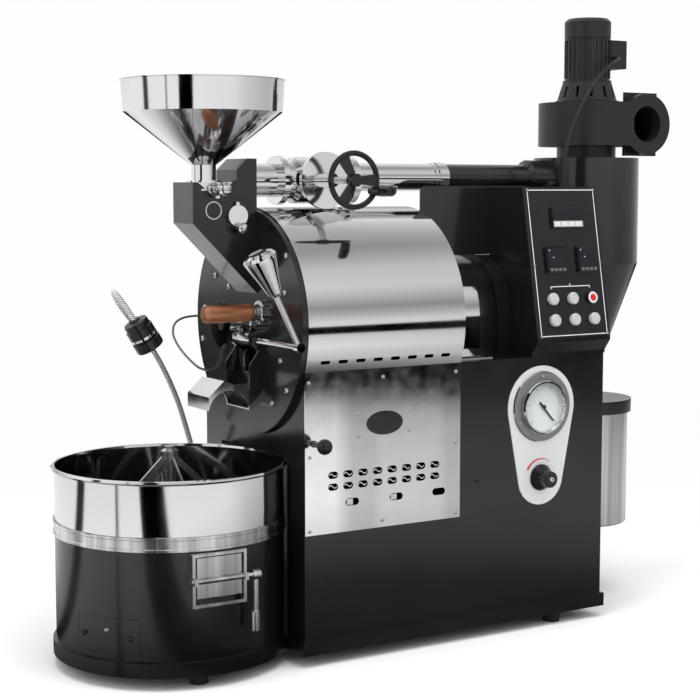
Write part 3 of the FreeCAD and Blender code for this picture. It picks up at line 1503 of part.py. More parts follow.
def chaff_drawer():
    """Curved front panel with a shallow box behind it and two knobs."""
    body = new_body("chaff_drawer", size.tray_x, 0, size.drawer_z + size.drawer_gap)
    outer = size.tray_wall_radius
    rise = size.drawer_rise - size.drawer_gap * 2
    front = new_sketch(body, "XY")
    sector_outline(front, outer - size.bin_sheet, outer, size.drawer_half_angle, 0.2)
    pad(body, front, rise)
    box = new_sketch(body, "XY")
    sector_outline(box, outer - 70, outer - size.bin_sheet, size.drawer_half_angle - 7)
    pad(body, box, rise - 14)
    hollow = new_sketch(body, "XY", 1.5)
    sector_outline(hollow, outer - 68, outer - size.bin_sheet - 1.5, size.drawer_half_angle - 8)
    cut(body, hollow, rise)
    for side in (-13.5, 13.5):
        angle = size.drawer_angle + side
        knob = new_sketch(body, "YZ", outer * cosine(angle) - 5)
        draw_circle(knob, outer * sine(angle), rise * 0.45, 4)
        pad(body, knob, 6)


def outlet_frame():
    """Bright frame round the outlet, with a sloping lip and lugs for the flap's rod."""
    body = new_body("outlet_frame", size.outlet_gate_x, -size.tray_wall_radius, size.outlet_gate_z)
    half = size.outlet_gate_width / 2
    rise = size.outlet_gate_rise
    reach = size.outlet_gate_reach
    wall = size.tray_wall_radius
    off = size.outlet_gate_x - size.tray_x
    left_sag = wall - root(wall * wall - (half - off) * (half - off))
    right_sag = wall - root(wall * wall - (half + off) * (half + off))
    block = new_sketch(body, "XY")
    draw_outline(block, [(-half, -reach), (half, -reach), (half, right_sag, (wall, True, False)), (-half, left_sag)])
    pad(body, block, rise)
    opening = new_sketch(body, "XZ")
    draw_rectangle(opening, 5 - half, 11, half - 5, rise - 5)
    cut(body, opening, wall, middle=True)
    slope = new_sketch(body, "YZ", 5 - half)
    draw_outline(slope, [(-reach, 11), (-reach, 5), (6, 5), (6, 11 + reach)])
    cut(body, slope, size.outlet_gate_width - 10)
    for x in (-half, half - 7):
        lug = new_sketch(body, "YZ", x)
        draw_rectangle(lug, -reach - 8, rise * 0.5 - 6, -reach, rise * 0.5 + 6)
        pad(body, lug, 7)
    rod = new_sketch(body, "YZ", -half)
    draw_circle(rod, -reach - 2, rise * 0.5, size.flap_rod_radius + size.running_gap)
    cut(body, rod, size.outlet_gate_width)


def outlet_flap():
    """Flap on a rod across the outlet, with a hand lever at its end."""
    reach = size.outlet_gate_reach
    rise = size.outlet_gate_rise
    body = new_body("outlet_flap", size.outlet_gate_x, -size.tray_wall_radius - reach - 2,
                    size.outlet_gate_z + rise * 0.5)
    half = size.outlet_gate_width / 2
    rod_sketch = new_sketch(body, "YZ", -half - 4)
    draw_circle(rod_sketch, 0, 0, size.flap_rod_radius)
    pad(body, rod_sketch, size.outlet_gate_width + 26)
    plate = new_sketch(body, "XZ", -5.5)
    draw_rectangle(plate, 8.5 - half, 15 - rise / 2, half - 8.5, rise / 2 - 7)
    pad(body, plate, 2)
    web = new_sketch(body, "XZ", -6)
    draw_rectangle(web, 20 - half, -3, half - 20, 3)
    pad(body, web, 6)
    hub = new_sketch(body, "YZ", half + 9)
    draw_circle(hub, 0, 0, 8.5)
    pad(body, hub, 13)
    arm = new_sketch(body, "YZ", half + 11)
    draw_rectangle(arm, -3.5, -62, 3.5, 0)
    pad(body, arm, 7)
    grip = new_sketch(body, "XY", -92)
    draw_circle(grip, half + 14.5, 0, 7.5)
    pad(body, grip, 32)


def cooling_rake():
    """Stirring rake: centre post and arms that slope down to paddles on the floor."""
    body = new_body("cooling_rake", size.tray_x, 0, size.tray_floor_z)
    post = size.rake_post_radius
    top = size.rake_post_top_z - size.tray_floor_z
    spin(body, [(0, -28), (post, -28), (post, 0.4), (22, 0.4), (22, 26), (post + 3, 34), (post + 3, top - 26),
                (post + 6, top - 24), (post + 6, top - 8), (post, top - 4), (post, top), (0, top)])
    reach = size.rake_arm_reach
    arm = new_sketch(body, "XZ")
    draw_outline(arm, [(post, top - 12), (post, top - 26), (reach - 12, 44), (reach - 12, 8), (reach - 34, 4),
                       (reach - 34, 3), (reach, 3), (reach, 52), (reach - 6, 56)])
    ring_of(body, pad(body, arm, 4, middle=True), size.rake_arm_count)
    low_arm = new_sketch(body, "XZ")
    draw_rectangle(low_arm, post + 10, 14, reach - 10, 24)
    ring_of(body, pad(body, low_arm, 5, middle=True), size.rake_arm_count)


# Lamp, cords

def rounded_path(points):
    """Return a wire of straight runs and tangent arcs through a list of points."""
    edges = []
    start = points[0]
    for before, here, after in zip(points, points[1:], points[2:]):
        inward = (before - here).normalize()
        outward = (after - here).normalize()
        half_turn = (math.pi - inward.getAngle(outward)) / 2
        run = 0.45 * min((before - here).Length, (after - here).Length)
        radius = run / math.tan(half_turn)
        first = here + inward * run
        last = here + outward * run
        bisector = (inward + outward).normalize()
        centre = here + bisector * (radius / math.cos(half_turn))
        middle = centre - bisector * radius
        edges.append(Part.makeLine(start, first))
        edges.append(Part.Arc(first, middle, last).toShape())
        start = last
        print(f"arc radius {radius:.1f}")
    edges.append(Part.makeLine(start, points[-1]))
    return Part.Wire(edges)


def tube_along(label, points, radius):
    """Sweep a round section along the rounded path of the points."""
    path = rounded_path(points)
    direction = (points[1] - points[0]).normalize()
    section = Part.Wire([Part.makeCircle(radius, points[0], direction)])
    solid = path.makePipeShell([section], True, False)
    expected = math.pi * radius * radius * path.Length
    print(f"{label}: length {path.Length:.1f}, volume ratio {solid.Volume / expected:.4f}")
    feature = document.addObject("Part::Feature", label)
    feature.Label = label
    feature.Shape = solid
    place(feature, 0, 0, 0)
    finished.append(feature)


def lamp_axis():
    """Direction in which the lamp shines, down and to the rear."""
    turn = Rotation(Vector(0, 1, 0), size.lamp_tilt.number)
    return turn.multVec(Vector(0, 0, 1))


def lamp_head():
    """Lamp head: bright tail, black middle, bright front ring and the lens."""
    body = new_body("lamp_head", size.lamp_x, size.lamp_y, size.lamp_z, Vector(0, 1, 0), size.lamp_tilt.number)
    head = size.lamp_head_radius
    length = size.lamp_head_length
    spin(body, [(0, 0), (9, 0), (11, 3), (head - 4, 5), (head - 3, 8), (head - 3, 16), (head - 1, 17), (head - 1, 38),
                (head - 3, 39), (head, 41), (head, length - 2), (head - 1, length), (head - 3, length),
                (head - 3, length - 2), (0, length - 2)])


def lamp_neck():
    """Bending neck from the bracket on the cabinet's front to the lamp's tail."""
    head = Vector(size.lamp_x.number, size.lamp_y.number, size.lamp_z.number)
    tail = lamp_axis() * -1
    points = [Vector(0.0, 172, 300), Vector(-20, 172, 300), Vector(-34, 172, 322), Vector(-46, 168, 358),
              Vector(-72, 152, 420), Vector(-108, 131, 480), Vector(-146, 110, 530), Vector(-184, 92, 570),
              Vector(-212, 79, 598), Vector(-228, 71, 622), head + tail * 52 + Vector(-6, 2, 4), head + tail * 26, head]
    tube_along("lamp_neck", points, size.lamp_neck_radius.number)


def probe_cable():
    """Thermocouple lead that loops from the far side of the drum to the front plate."""
    points = [Vector(14, 202, 566), Vector(-12, 204, 566), Vector(-36, 203, 564), Vector(-55, 200, 555),
              Vector(-62, 194, 538), Vector(-58, 186, 519), Vector(-49, 175, 501), Vector(-38, 162, 485),
              Vector(-25, 152, 472), Vector(-10.0, 150, 470)]
    tube_along("probe_cable", points, size.probe_cable_radius.number)


def motor_cable():
    """Lead from the motor's terminal box down to the top of the console."""
    points = [Vector(780, -28.0, 1050), Vector(779, -45, 1049), Vector(764, -64, 1046), Vector(734, -80, 1036),
              Vector(700, -90, 1015), Vector(668, -96, 985), Vector(640, -99, 945), Vector(618, -100, 900),
              Vector(602, -100, 850), Vector(598, -100, 801.0)]
    tube_along("motor_cable", points, size.motor_cable_radius.number)


def check_document():
    """Stop on any failed object, empty shape or cut that removed nothing."""
    for item in document.Objects:
        if "Invalid" in item.State or "Error" in item.State:
            raise RuntimeError(f"{item.Name} failed: {item.State}")
        if item.TypeId == "PartDesign::Pocket" and item.BaseFeature is not None:
            if item.BaseFeature.Shape.Volume - item.Shape.Volume < 0.1:
                raise RuntimeError(f"{item.Name} cut nothing")
    for item in finished:
        if item.Shape.isNull() or not item.Shape.isValid():
            raise RuntimeError(f"{item.Label} has no valid shape")


def write_parts():
    os.makedirs("parts", exist_ok=True)
    for item in finished:
        item.Shape.exportStep(f"parts/{item.Label}.step")


PIECES = [
    base_plinth, base_feet, cabinet_shell, burner_panel, gas_burner, drum_cover, front_plate, front_bearing, drum,
    rear_housing, rear_guard, trier_port, trier_spoon, trier_handle, discharge_door, door_window, discharge_lever,
    discharge_trough, charge_chute, hopper, hopper_gate, charge_lever, damper_body,
    damper_spindle, damper_handwheel, crank_grip, air_pipe_rear, rear_duct, cyclone, canister_lid, chaff_can,
    fan_volute, fan_impeller, fan_motor, control_console, push_buttons, panel_instruments, screen_plate, gauge_plate,
    pressure_gauge, gauge_glass, gauge_pointer, gas_knob, shutter_knob, cooling_tray, tray_floor, clamp_band, tray_bin,
    chaff_drawer, outlet_frame, outlet_flap, cooling_rake, lamp_head, lamp_neck, probe_cable, motor_cable,
]

for build_piece in PIECES:
    build_piece()
document.recompute()
check_document()
write_parts()
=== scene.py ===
import bpy
import bmesh
import math
from mathutils import Euler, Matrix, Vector


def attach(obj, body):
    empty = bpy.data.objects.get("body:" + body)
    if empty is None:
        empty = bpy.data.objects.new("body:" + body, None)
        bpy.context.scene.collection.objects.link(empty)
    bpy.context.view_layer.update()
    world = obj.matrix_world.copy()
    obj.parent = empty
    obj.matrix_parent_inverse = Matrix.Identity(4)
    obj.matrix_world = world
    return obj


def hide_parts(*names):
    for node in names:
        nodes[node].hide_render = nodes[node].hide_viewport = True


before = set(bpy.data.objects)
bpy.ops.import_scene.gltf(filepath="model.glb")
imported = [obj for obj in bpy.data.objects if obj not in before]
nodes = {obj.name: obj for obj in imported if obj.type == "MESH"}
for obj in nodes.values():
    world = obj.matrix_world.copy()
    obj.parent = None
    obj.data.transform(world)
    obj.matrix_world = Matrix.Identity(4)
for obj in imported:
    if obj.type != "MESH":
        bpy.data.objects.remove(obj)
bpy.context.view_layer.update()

# Studio. The machine stands on pale seamless paper under soft boxes. Its polished steel mirrors
# a bright room with black flags round it. Seen in the steel, the paper is a painted reflection:
# it glows dark round the machine, with the flags painted on it and a painted dark edge 3.4 m out.
scene = bpy.context.scene
scene.view_settings.view_transform = "Standard"
FLOOR_MIDDLE = Vector((0.2551, -0.0158, 0.0))
PICTURE_SIDE = 700
FOCUS_IN_PIXELS = 1602.88
SENSOR_WIDTH = 36.0
CAMERA_DOWN = 5.790
CAMERA_TURN = -31.359
PAPER_WHITE = (0.99, 0.99, 0.99, 1)


def machine_point(x, y, z):
    """A point in millimetres from the cabinet's lower front edge, in the frame's metres."""
    return Vector((x / 1000, y / 1000, z / 1000)) - FLOOR_MIDDLE


camera_data = bpy.data.cameras.new("camera")
camera = bpy.data.objects.new("camera", camera_data)
scene.collection.objects.link(camera)
camera.location = machine_point(-1296.1, -2452.2, 800.3)
camera.rotation_euler = Euler((math.radians(90 - CAMERA_DOWN), 0, math.radians(CAMERA_TURN)), "XYZ")
camera_data.sensor_width = SENSOR_WIDTH
camera_data.lens = FOCUS_IN_PIXELS / PICTURE_SIDE * SENSOR_WIDTH
camera_data.clip_start = 0.05
camera_data.clip_end = 50
scene.camera = camera


def ramp_of(tree, source, stops):
    """A colour ramp of grey stops, given as (position, shade) pairs."""
    ramp = tree.nodes.new("ShaderNodeValToRGB")
    band = ramp.color_ramp
    for number, (position, shade) in enumerate(stops):
        stop = band.elements[number] if number < 2 else band.elements.new(position)
        stop.position = position
        stop.color = (shade, shade, shade, 1)
    tree.links.new(source, ramp.inputs["Fac"])
    return ramp.outputs["Color"]


def maths(tree, kind, first, second=None, third=None):
    """One sum on sockets or plain numbers."""
    node = tree.nodes.new("ShaderNodeMath")
    node.operation = kind
    for socket, value in zip(node.inputs, (first, second, third)):
        if hasattr(value, "is_output"):
            tree.links.new(value, socket)
        elif value is not None:
            socket.default_value = value
    return node.outputs[0]


def turn_share(tree, across, along):
    """Compass direction of a vector as a share of a full turn, from 0 to 1."""
    return maths(tree, "MULTIPLY_ADD", maths(tree, "ARCTAN2", along, across), 1 / math.tau, 0.5)


def flag_bands(tree, share):
    """Black flags and greys round the room, by share of a turn from the direction of -X."""
    return ramp_of(tree, share, (
        (0.0, 1.0), (0.028, 1.0), (0.030, 0.02), (0.034, 0.02), (0.036, 1.0), (0.083, 1.0),
        (0.085, 0.0), (0.139, 0.0), (0.141, 1.0), (0.30, 0.92), (0.36, 0.72), (0.47, 0.55),
        (0.56, 0.8), (0.70, 1.0), (0.92, 1.0), (0.925, 0.03), (0.945, 0.03), (0.95, 1.0)))


def multiplied(tree, first, second):
    """Two colours multiplied together."""
    mix = tree.nodes.new("ShaderNodeMix")
    mix.data_type = "RGBA"
    mix.blend_type = "MULTIPLY"
    mix.inputs[0].default_value = 1.0
    tree.links.new(first, mix.inputs[6])
    tree.links.new(second, mix.inputs[7])
    return mix.outputs[2]


def shader_mix(tree, share, first, second):
    """One shader laid over another by a share from 0 to 1."""
    mix = tree.nodes.new("ShaderNodeMixShader")
    tree.links.new(share, mix.inputs[0])
    tree.links.new(first, mix.inputs[1])
    tree.links.new(second, mix.inputs[2])
    return mix.outputs[0]


world = bpy.data.worlds.new("studio")
scene.world = world
world.use_nodes = True
room = world.node_tree
room.nodes.clear()
where = room.nodes.new("ShaderNodeTexCoord")
split = room.nodes.new("ShaderNodeSeparateXYZ")
room.links.new(where.outputs["Generated"], split.inputs[0])
compass = turn_share(room, split.outputs["X"], split.outputs["Y"])
height_share = maths(room, "MULTIPLY_ADD", split.outputs["Z"], 0.5, 0.5)
heights = ramp_of(room, height_share, (
    (0.0, 0.1), (0.12, 0.12), (0.2, 0.9), (0.497, 1.0), (0.503, 1.0), (0.56, 0.62),
    (0.61, 0.42), (0.68, 0.72), (0.75, 1.0), (0.85, 0.95), (0.92, 0.62), (1.0, 1.0)))
lit = multiplied(room, heights, flag_bands(room, compass))
rays = room.nodes.new("ShaderNodeLightPath")
shown = room.nodes.new("ShaderNodeMix")
shown.data_type = "RGBA"
room.links.new(rays.outputs["Is Camera Ray"], shown.inputs[0])
room.links.new(lit, shown.inputs[6])
shown.inputs[7].default_value = PAPER_WHITE
back = room.nodes.new("ShaderNodeBackground")
room.links.new(shown.outputs[2], back.inputs["Color"])
back.inputs["Strength"].default_value = 1.0
out = room.nodes.new("ShaderNodeOutputWorld")
room.links.new(back.outputs[0], out.inputs[0])


def soft_box(name, place, aim, wide, tall, power):
    """A soft box aimed at a point, which polished steel doesn't mirror."""
    light_data = bpy.data.lights.new(name, "AREA")
    light_data.shape = "RECTANGLE"
    light_data.size = wide
    light_data.size_y = tall
    light_data.energy = power
    light = bpy.data.objects.new(name, light_data)
    scene.collection.objects.link(light)
    light.location = place
    towards = Vector(aim) - Vector(place)
    light.rotation_euler = towards.to_track_quat("-Z", "Y").to_euler()
    light.visible_glossy = False


soft_box("overhead_box", (-0.3, -0.6, 2.9), (0, 0, 0.5), 2.6, 1.6, 60)
soft_box("left_box", (-2.6, -1.4, 1.5), (0, 0, 0.5), 1.0, 2.4, 26)
soft_box("right_box", (2.4, -1.8, 1.6), (0.1, 0, 0.5), 0.9, 2.2, 20)

FLOOR_HALF = 9
floor_mesh = bpy.data.meshes.new("floor")
floor_mesh.from_pydata([(-FLOOR_HALF, -FLOOR_HALF, 0), (FLOOR_HALF, -FLOOR_HALF, 0),
                        (FLOOR_HALF, FLOOR_HALF, 0), (-FLOOR_HALF, FLOOR_HALF, 0)],
                       [], [(0, 1, 2, 3)])
floor = bpy.data.objects.new("floor", floor_mesh)
scene.collection.objects.link(floor)
paper = bpy.data.materials.new("floor_paper")
paper.use_nodes = True
sheet_tree = paper.node_tree
paper_shader = sheet_tree.nodes["Principled BSDF"]
paper_shader.inputs["Base Color"].default_value = (0.95, 0.95, 0.95, 1)
paper_shader.inputs["Roughness"].default_value = 0.9
paper_shader.inputs["Specular IOR Level"].default_value = 0.0
spot = sheet_tree.nodes.new("ShaderNodeTexCoord")
spot_split = sheet_tree.nodes.new("ShaderNodeSeparateXYZ")
sheet_tree.links.new(spot.outputs["Object"], spot_split.inputs[0])
away = sheet_tree.nodes.new("ShaderNodeVectorMath")
away.operation = "LENGTH"
sheet_tree.links.new(spot.outputs["Object"], away.inputs[0])
reach = maths(sheet_tree, "MULTIPLY", away.outputs["Value"], 0.2)
# Painted reflection for glossy rays: dark within about 0.65 m of the middle (painted shade round
# the machine), brightest a little further out, and black beyond about 3.4 m (a painted dark edge).
painted_reflection_falloff = ramp_of(sheet_tree, reach, (
    (0.0, 0.10), (0.13, 0.12), (0.2, 0.75), (0.3, 1.0), (0.55, 0.85), (0.68, 0.6),
    (0.69, 0.0), (1.0, 0.0)))
around = turn_share(sheet_tree, spot_split.outputs["X"], spot_split.outputs["Y"])
# The floor glows in this painted pattern, with the black flags painted on it, where the steel
# mirrors it.
painted_floor_reflection = sheet_tree.nodes.new("ShaderNodeEmission")
sheet_tree.links.new(multiplied(sheet_tree, painted_reflection_falloff, flag_bands(sheet_tree, around)),
                     painted_floor_reflection.inputs["Color"])
glance = sheet_tree.nodes.new("ShaderNodeLightPath")
white_paper = sheet_tree.nodes.new("ShaderNodeEmission")
white_paper.inputs["Color"].default_value = PAPER_WHITE
far_share = ramp_of(sheet_tree, reach, ((0.17, 0.0), (0.36, 1.0)))
fade = maths(sheet_tree, "MULTIPLY", far_share, glance.outputs["Is Camera Ray"])
near_paper = shader_mix(sheet_tree, fade, paper_shader.outputs[0], white_paper.outputs[0])
# Glossy rays see the painted reflection in place of the lit paper.
either = shader_mix(sheet_tree, glance.outputs["Is Glossy Ray"], near_paper, painted_floor_reflection.outputs[0])
sheet_tree.links.new(either, sheet_tree.nodes["Material Output"].inputs["Surface"])
floor_mesh.materials.append(paper)


# Plinth, cabinet and the other black sheet metal. Folded steel, sprayed with black powder that
# cures to a gloss with a faint orange peel.
def new_finish(name, colour, roughness, metallic=0.0):
    """A material whose shader keeps the numbers that are the same all over."""
    finish = bpy.data.materials.new(name)
    finish.use_nodes = True
    shader = finish.node_tree.nodes["Principled BSDF"]
    shader.inputs["Base Color"].default_value = (*colour, 1)
    shader.inputs["Roughness"].default_value = roughness
    shader.inputs["Metallic"].default_value = metallic
    return finish, shader


def noise_on(finish, scale, detail=3.0, stretch=(1, 1, 1)):
    """Noise over the piece's own place, stretched along the brushing or grain."""
    grid = finish.node_tree
    place = grid.nodes.new("ShaderNodeTexCoord")
    turn = grid.nodes.new("ShaderNodeMapping")
    turn.inputs["Scale"].default_value = stretch
    noise = grid.nodes.new("ShaderNodeTexNoise")
    noise.inputs["Scale"].default_value = scale
    noise.inputs["Detail"].default_value = detail
    grid.links.new(place.outputs["Object"], turn.inputs["Vector"])
    grid.links.new(turn.outputs["Vector"], noise.inputs["Vector"])
    return noise.outputs["Fac"]


def spread_roughness(finish, shader, source, low, high):
    """Gloss that changes from place to place between two values."""
    grid = finish.node_tree
    span = grid.nodes.new("ShaderNodeMapRange")
    span.inputs["From Min"].default_value = 0.3
    span.inputs["From Max"].default_value = 0.7
    span.inputs["To Min"].default_value = low
    span.inputs["To Max"].default_value = high
    grid.links.new(source, span.inputs["Value"])
    grid.links.new(span.outputs["Result"], shader.inputs["Roughness"])


def bump_from(finish, shader, source, depth, strength):
    """Fine relief from a pattern, its depth in metres."""
    grid = finish.node_tree
    bump = grid.nodes.new("ShaderNodeBump")
    bump.inputs["Distance"].default_value = depth
    bump.inputs["Strength"].default_value = strength
    grid.links.new(source, bump.inputs["Height"])
    grid.links.new(bump.outputs["Normal"], shader.inputs["Normal"])


def shade_between(finish, shader, source, dark, light, low=0.35, high=0.65):
    """Colour that changes between a dark and a light shade along a pattern."""
    grid = finish.node_tree
    band = grid.nodes.new("ShaderNodeValToRGB")
    band.color_ramp.elements[0].position = low
    band.color_ramp.elements[0].color = (*dark, 1)
    band.color_ramp.elements[1].position = high
    band.color_ramp.elements[1].color = (*light, 1)
    grid.links.new(source, band.inputs["Fac"])
    grid.links.new(band.outputs["Color"], shader.inputs["Base Color"])


def dress(finish, *names):
    """Put a finish on CAD nodes' objects in place of the plain one."""
    for name in names:
        slots = nodes[name].data.materials
        slots.clear()
        slots.append(finish)


black_coat, black_shader = new_finish("black_powder_coat", (0.006, 0.006, 0.007), 0.22)
shade_between(black_coat, black_shader, noise_on(black_coat, 3.0),
              (0.0045, 0.0045, 0.005), (0.008, 0.008, 0.009))
spread_roughness(black_coat, black_shader, noise_on(black_coat, 14.0, 4.0), 0.17, 0.26)
bump_from(black_coat, black_shader, noise_on(black_coat, 900.0, 2.0), 0.00006, 0.25)
black_shader.inputs["Coat Weight"].default_value = 0.35
black_shader.inputs["Coat Roughness"].default_value = 0.08
dress(black_coat, "base_plinth", "cabinet_shell", "front_plate", "rear_housing",
      "charge_chute", "rear_duct", "cyclone", "canister_lid", "control_console",
      "screen_plate", "tray_bin", "chaff_drawer")

# Polished stainless sheet and rod: drum cover, hopper, tray wall, guard, pipes, doors and
# levers. Rolled and mirror polished, with a soft cloudiness where hands have wiped it.
mirror_steel, mirror_shader = new_finish("mirror_steel", (0.78, 0.78, 0.79), 0.07, 1.0)
spread_roughness(mirror_steel, mirror_shader, noise_on(mirror_steel, 9.0, 4.0), 0.045, 0.11)
bump_from(mirror_steel, mirror_shader, noise_on(mirror_steel, 5.0, 2.0), 0.0006, 0.05)
dress(mirror_steel, "drum_cover", "hopper", "cooling_tray", "rear_guard", "discharge_trough",
      "damper_body", "air_pipe_rear", "front_bearing", "trier_port", "discharge_lever",
      "discharge_door", "hopper_gate", "charge_lever")

# Brushed stainless: tray floor, rake, sampling spoon, impeller and damper spindle. The lines
# run one way, so highlights stretch across them.
BRUSH_DETAIL = 6.0
brushed_steel, brushed_shader = new_finish("brushed_steel", (0.66, 0.66, 0.67), 0.24, 1.0)
spread_roughness(brushed_steel, brushed_shader,
                 noise_on(brushed_steel, 60.0, BRUSH_DETAIL, (1, 1, 30)), 0.2, 0.28)
bump_from(brushed_steel, brushed_shader,
          noise_on(brushed_steel, 90.0, BRUSH_DETAIL, (1, 1, 40)), 0.00002, 0.2)
dress(brushed_steel, "tray_floor", "cooling_rake", "trier_spoon", "fan_impeller",
      "damper_spindle")

# Drum and burner tubes. Rolled and welded furnace steel, left bare, its mill scale browned
# by heat.
scale_steel, scale_shader = new_finish("furnace_steel", (0.07, 0.06, 0.055), 0.55, 0.8)
shade_between(scale_steel, scale_shader, noise_on(scale_steel, 22.0, 5.0),
              (0.035, 0.03, 0.028), (0.12, 0.09, 0.07))
dress(scale_steel, "drum", "gas_burner")


# Moulded plastic, rubber feet and the fan. The hand wheel, grips, bezels and knobs come glossy
# from their moulds, the feet are matt rubber, and the fan and its motor are painted castings.
def uneven_finish(name, colour, roughness, grain, detail, low, high, metallic=0.0):
    """A finish in one colour, with gloss that changes a little over the grain's size."""
    finish, shader = new_finish(name, colour, roughness, metallic)
    spread_roughness(finish, shader, noise_on(finish, grain, detail), low, high)
    return finish


gloss_black = uneven_finish("moulded_black", (0.008, 0.008, 0.008), 0.16, 40.0, 3.0, 0.12, 0.24)
rubber_black, rubber_shader = new_finish("rubber_black", (0.014, 0.014, 0.014), 0.7)
bump_from(rubber_black, rubber_shader, noise_on(rubber_black, 500.0, 3.0), 0.0002, 0.5)
motor_paint, motor_shader = new_finish("motor_paint", (0.012, 0.012, 0.013), 0.38)
bump_from(motor_paint, motor_shader, noise_on(motor_paint, 350.0, 3.0), 0.00015, 0.4)
dress(gloss_black, "damper_handwheel", "crank_grip", "gas_knob", "shutter_knob", "lamp_head",
      "panel_instruments", "gauge_pointer")
dress(rubber_black, "base_feet")
dress(motor_paint, "fan_motor", "fan_volute")

# Gauge plate, gauge case and glasses. The plate is lacquered pale grey, the case is bright
# steel, and clear glass covers the dial and the window in the discharge door.
pale_plate = uneven_finish("pale_plate", (0.62, 0.63, 0.64), 0.3, 30.0, 4.0, 0.25, 0.36)
dress(pale_plate, "gauge_plate")
dress(mirror_steel, "pressure_gauge")
clear_glass, glass_shader = new_finish("clear_glass", (0.95, 0.97, 0.97), 0.03)
glass_shader.inputs["Transmission Weight"].default_value = 1.0
glass_shader.inputs["IOR"].default_value = 1.45
spread_roughness(clear_glass, glass_shader, noise_on(clear_glass, 60.0, 2.0), 0.01, 0.04)
glass_tree = clear_glass.node_tree
see_through = glass_tree.nodes.new("ShaderNodeBsdfTransparent")
light_way = glass_tree.nodes.new("ShaderNodeLightPath")
let_light = shader_mix(glass_tree, light_way.outputs["Is Shadow Ray"], glass_shader.outputs[0],
                       see_through.outputs[0])
glass_tree.links.new(let_light, glass_tree.nodes["Material Output"].inputs["Surface"])
dress(clear_glass, "gauge_glass", "door_window")

# Push buttons. Five silver-grey moulded caps, each on a stem that slides in a round well in
# the console's face.
BUTTON_COUNT = 5
button_grey = uneven_finish("button_silver", (0.55, 0.56, 0.57), 0.3, 80.0, 3.0, 0.25, 0.36, 0.3)
dress(button_grey, *[f"push_button_{number + 1}" for number in range(BUTTON_COUNT)])

# Wooden grip of the sampling spoon. Turned hardwood, oiled, its grain along the grip, and
# driven on the spoon's steel stem.
grip_wood, wood_shader = new_finish("grip_wood", (0.2, 0.07, 0.03), 0.35)
shade_between(grip_wood, wood_shader, noise_on(grip_wood, 90.0, 6.0, (0.12, 1, 1)),
              (0.09, 0.028, 0.012), (0.33, 0.13, 0.055))
dress(grip_wood, "trier_handle")


# Screws of the burner panel, front plate and cabinet. Steel with domed heads and a sunk
# socket, zinc-plated or, on the cabinet's side, black, and screwed straight into the sheet.
def turned(shell, outline, foot, along, steps=32):
    """Turn an outline of (radius, height) pairs round the line from foot towards along."""
    axis = Vector(along).normalized()
    side = axis.orthogonal().normalized()
    other = axis.cross(side)
    rings = []
    for radius, height in outline:
        middle = Vector(foot) + axis * height
        if radius == 0:
            rings.append([shell.verts.new(middle)])
            continue
        ring = []
        for step in range(steps):
            turn = math.tau * step / steps
            out_of_axis = side * math.cos(turn) + other * math.sin(turn)
            ring.append(shell.verts.new(middle + out_of_axis * radius))
        rings.append(ring)
    for low, high in zip(rings, rings[1:]):
        for step in range(steps):
            after = (step + 1) % steps
            corners = [low[step % len(low)], low[after % len(low)],
                       high[after % len(high)], high[step % len(high)]]
            corners = list(dict.fromkeys(corners))
            if len(corners) > 2:
                shell.faces.new(corners)
    for ring in (rings[0], rings[-1]):
        if len(ring) > 2:
            shell.faces.new(ring)


HEAD_TOP, SOCKET_DEPTH = 0.7, 0.42
HEAD_OUTLINE = [(1.0, 0.0), (1.0, 0.28), (0.9, 0.5), (0.62, 0.68), (0.44, HEAD_TOP),
                (0.44, HEAD_TOP - SOCKET_DEPTH)]
HEAD_SIDES = 12
TURN_SEED = 7


def socket_head(name):
    """One screw head of radius 1 on the origin, its socket sunk from the top."""
    shell = bmesh.new()
    turned(shell, HEAD_OUTLINE, (0, 0, 0), (0, 0, 1), HEAD_SIDES)
    bmesh.ops.recalc_face_normals(shell, faces=shell.faces)
    mesh = bpy.data.meshes.new(name)
    shell.to_mesh(mesh)
    shell.free()
    return bpy.data.objects.new(name, mesh)


def heads_tree(name, head, facing, finish):
    """A tree that sets the head on every point, facing one way, each turned by chance."""
    tree = bpy.data.node_groups.new(name, "GeometryNodeTree")
    side = tree.interface
    side.new_socket("Geometry", in_out="INPUT", socket_type="NodeSocketGeometry")
    radius = side.new_socket("Head radius", in_out="INPUT", socket_type="NodeSocketFloat")
    side.new_socket("Geometry", in_out="OUTPUT", socket_type="NodeSocketGeometry")
    entry = tree.nodes.new("NodeGroupInput")
    leave = tree.nodes.new("NodeGroupOutput")
    info = tree.nodes.new("GeometryNodeObjectInfo")
    info.inputs["Object"].default_value = head
    spread = tree.nodes.new("GeometryNodeInstanceOnPoints")
    lay = tree.nodes.new("FunctionNodeAlignRotationToVector")
    lay.axis = "Z"
    lay.inputs["Vector"].default_value = facing
    spin = tree.nodes.new("FunctionNodeRandomValue")
    spin.data_type = "FLOAT"
    spin.inputs[3].default_value = math.tau
    spin.inputs["Seed"].default_value = TURN_SEED
    twist = tree.nodes.new("FunctionNodeRotateRotation")
    twist.rotation_space = "LOCAL"
    about = tree.nodes.new("FunctionNodeAxisAngleToRotation")
    about.inputs["Axis"].default_value = (0, 0, 1)
    real = tree.nodes.new("GeometryNodeRealizeInstances")
    paint = tree.nodes.new("GeometryNodeSetMaterial")
    paint.inputs["Material"].default_value = finish
    for source, target in (
            (entry.outputs["Geometry"], spread.inputs["Points"]),
            (info.outputs["Geometry"], spread.inputs["Instance"]),
            (spin.outputs[1], about.inputs["Angle"]),
            (lay.outputs["Rotation"], twist.inputs["Rotation"]),
            (about.outputs["Rotation"], twist.inputs["Rotate By"]),
            (twist.outputs["Rotation"], spread.inputs["Rotation"]),
            (entry.outputs["Head radius"], spread.inputs["Scale"]),
            (spread.outputs["Instances"], real.inputs["Geometry"]),
            (real.outputs["Geometry"], paint.inputs["Geometry"]),
            (paint.outputs["Geometry"], leave.inputs["Geometry"])):
        tree.links.new(source, target)
    return tree, radius.identifier


bright_zinc = uneven_finish("bright_zinc", (0.72, 0.72, 0.73), 0.18, 300.0, 3.0, 0.12, 0.28, 1.0)


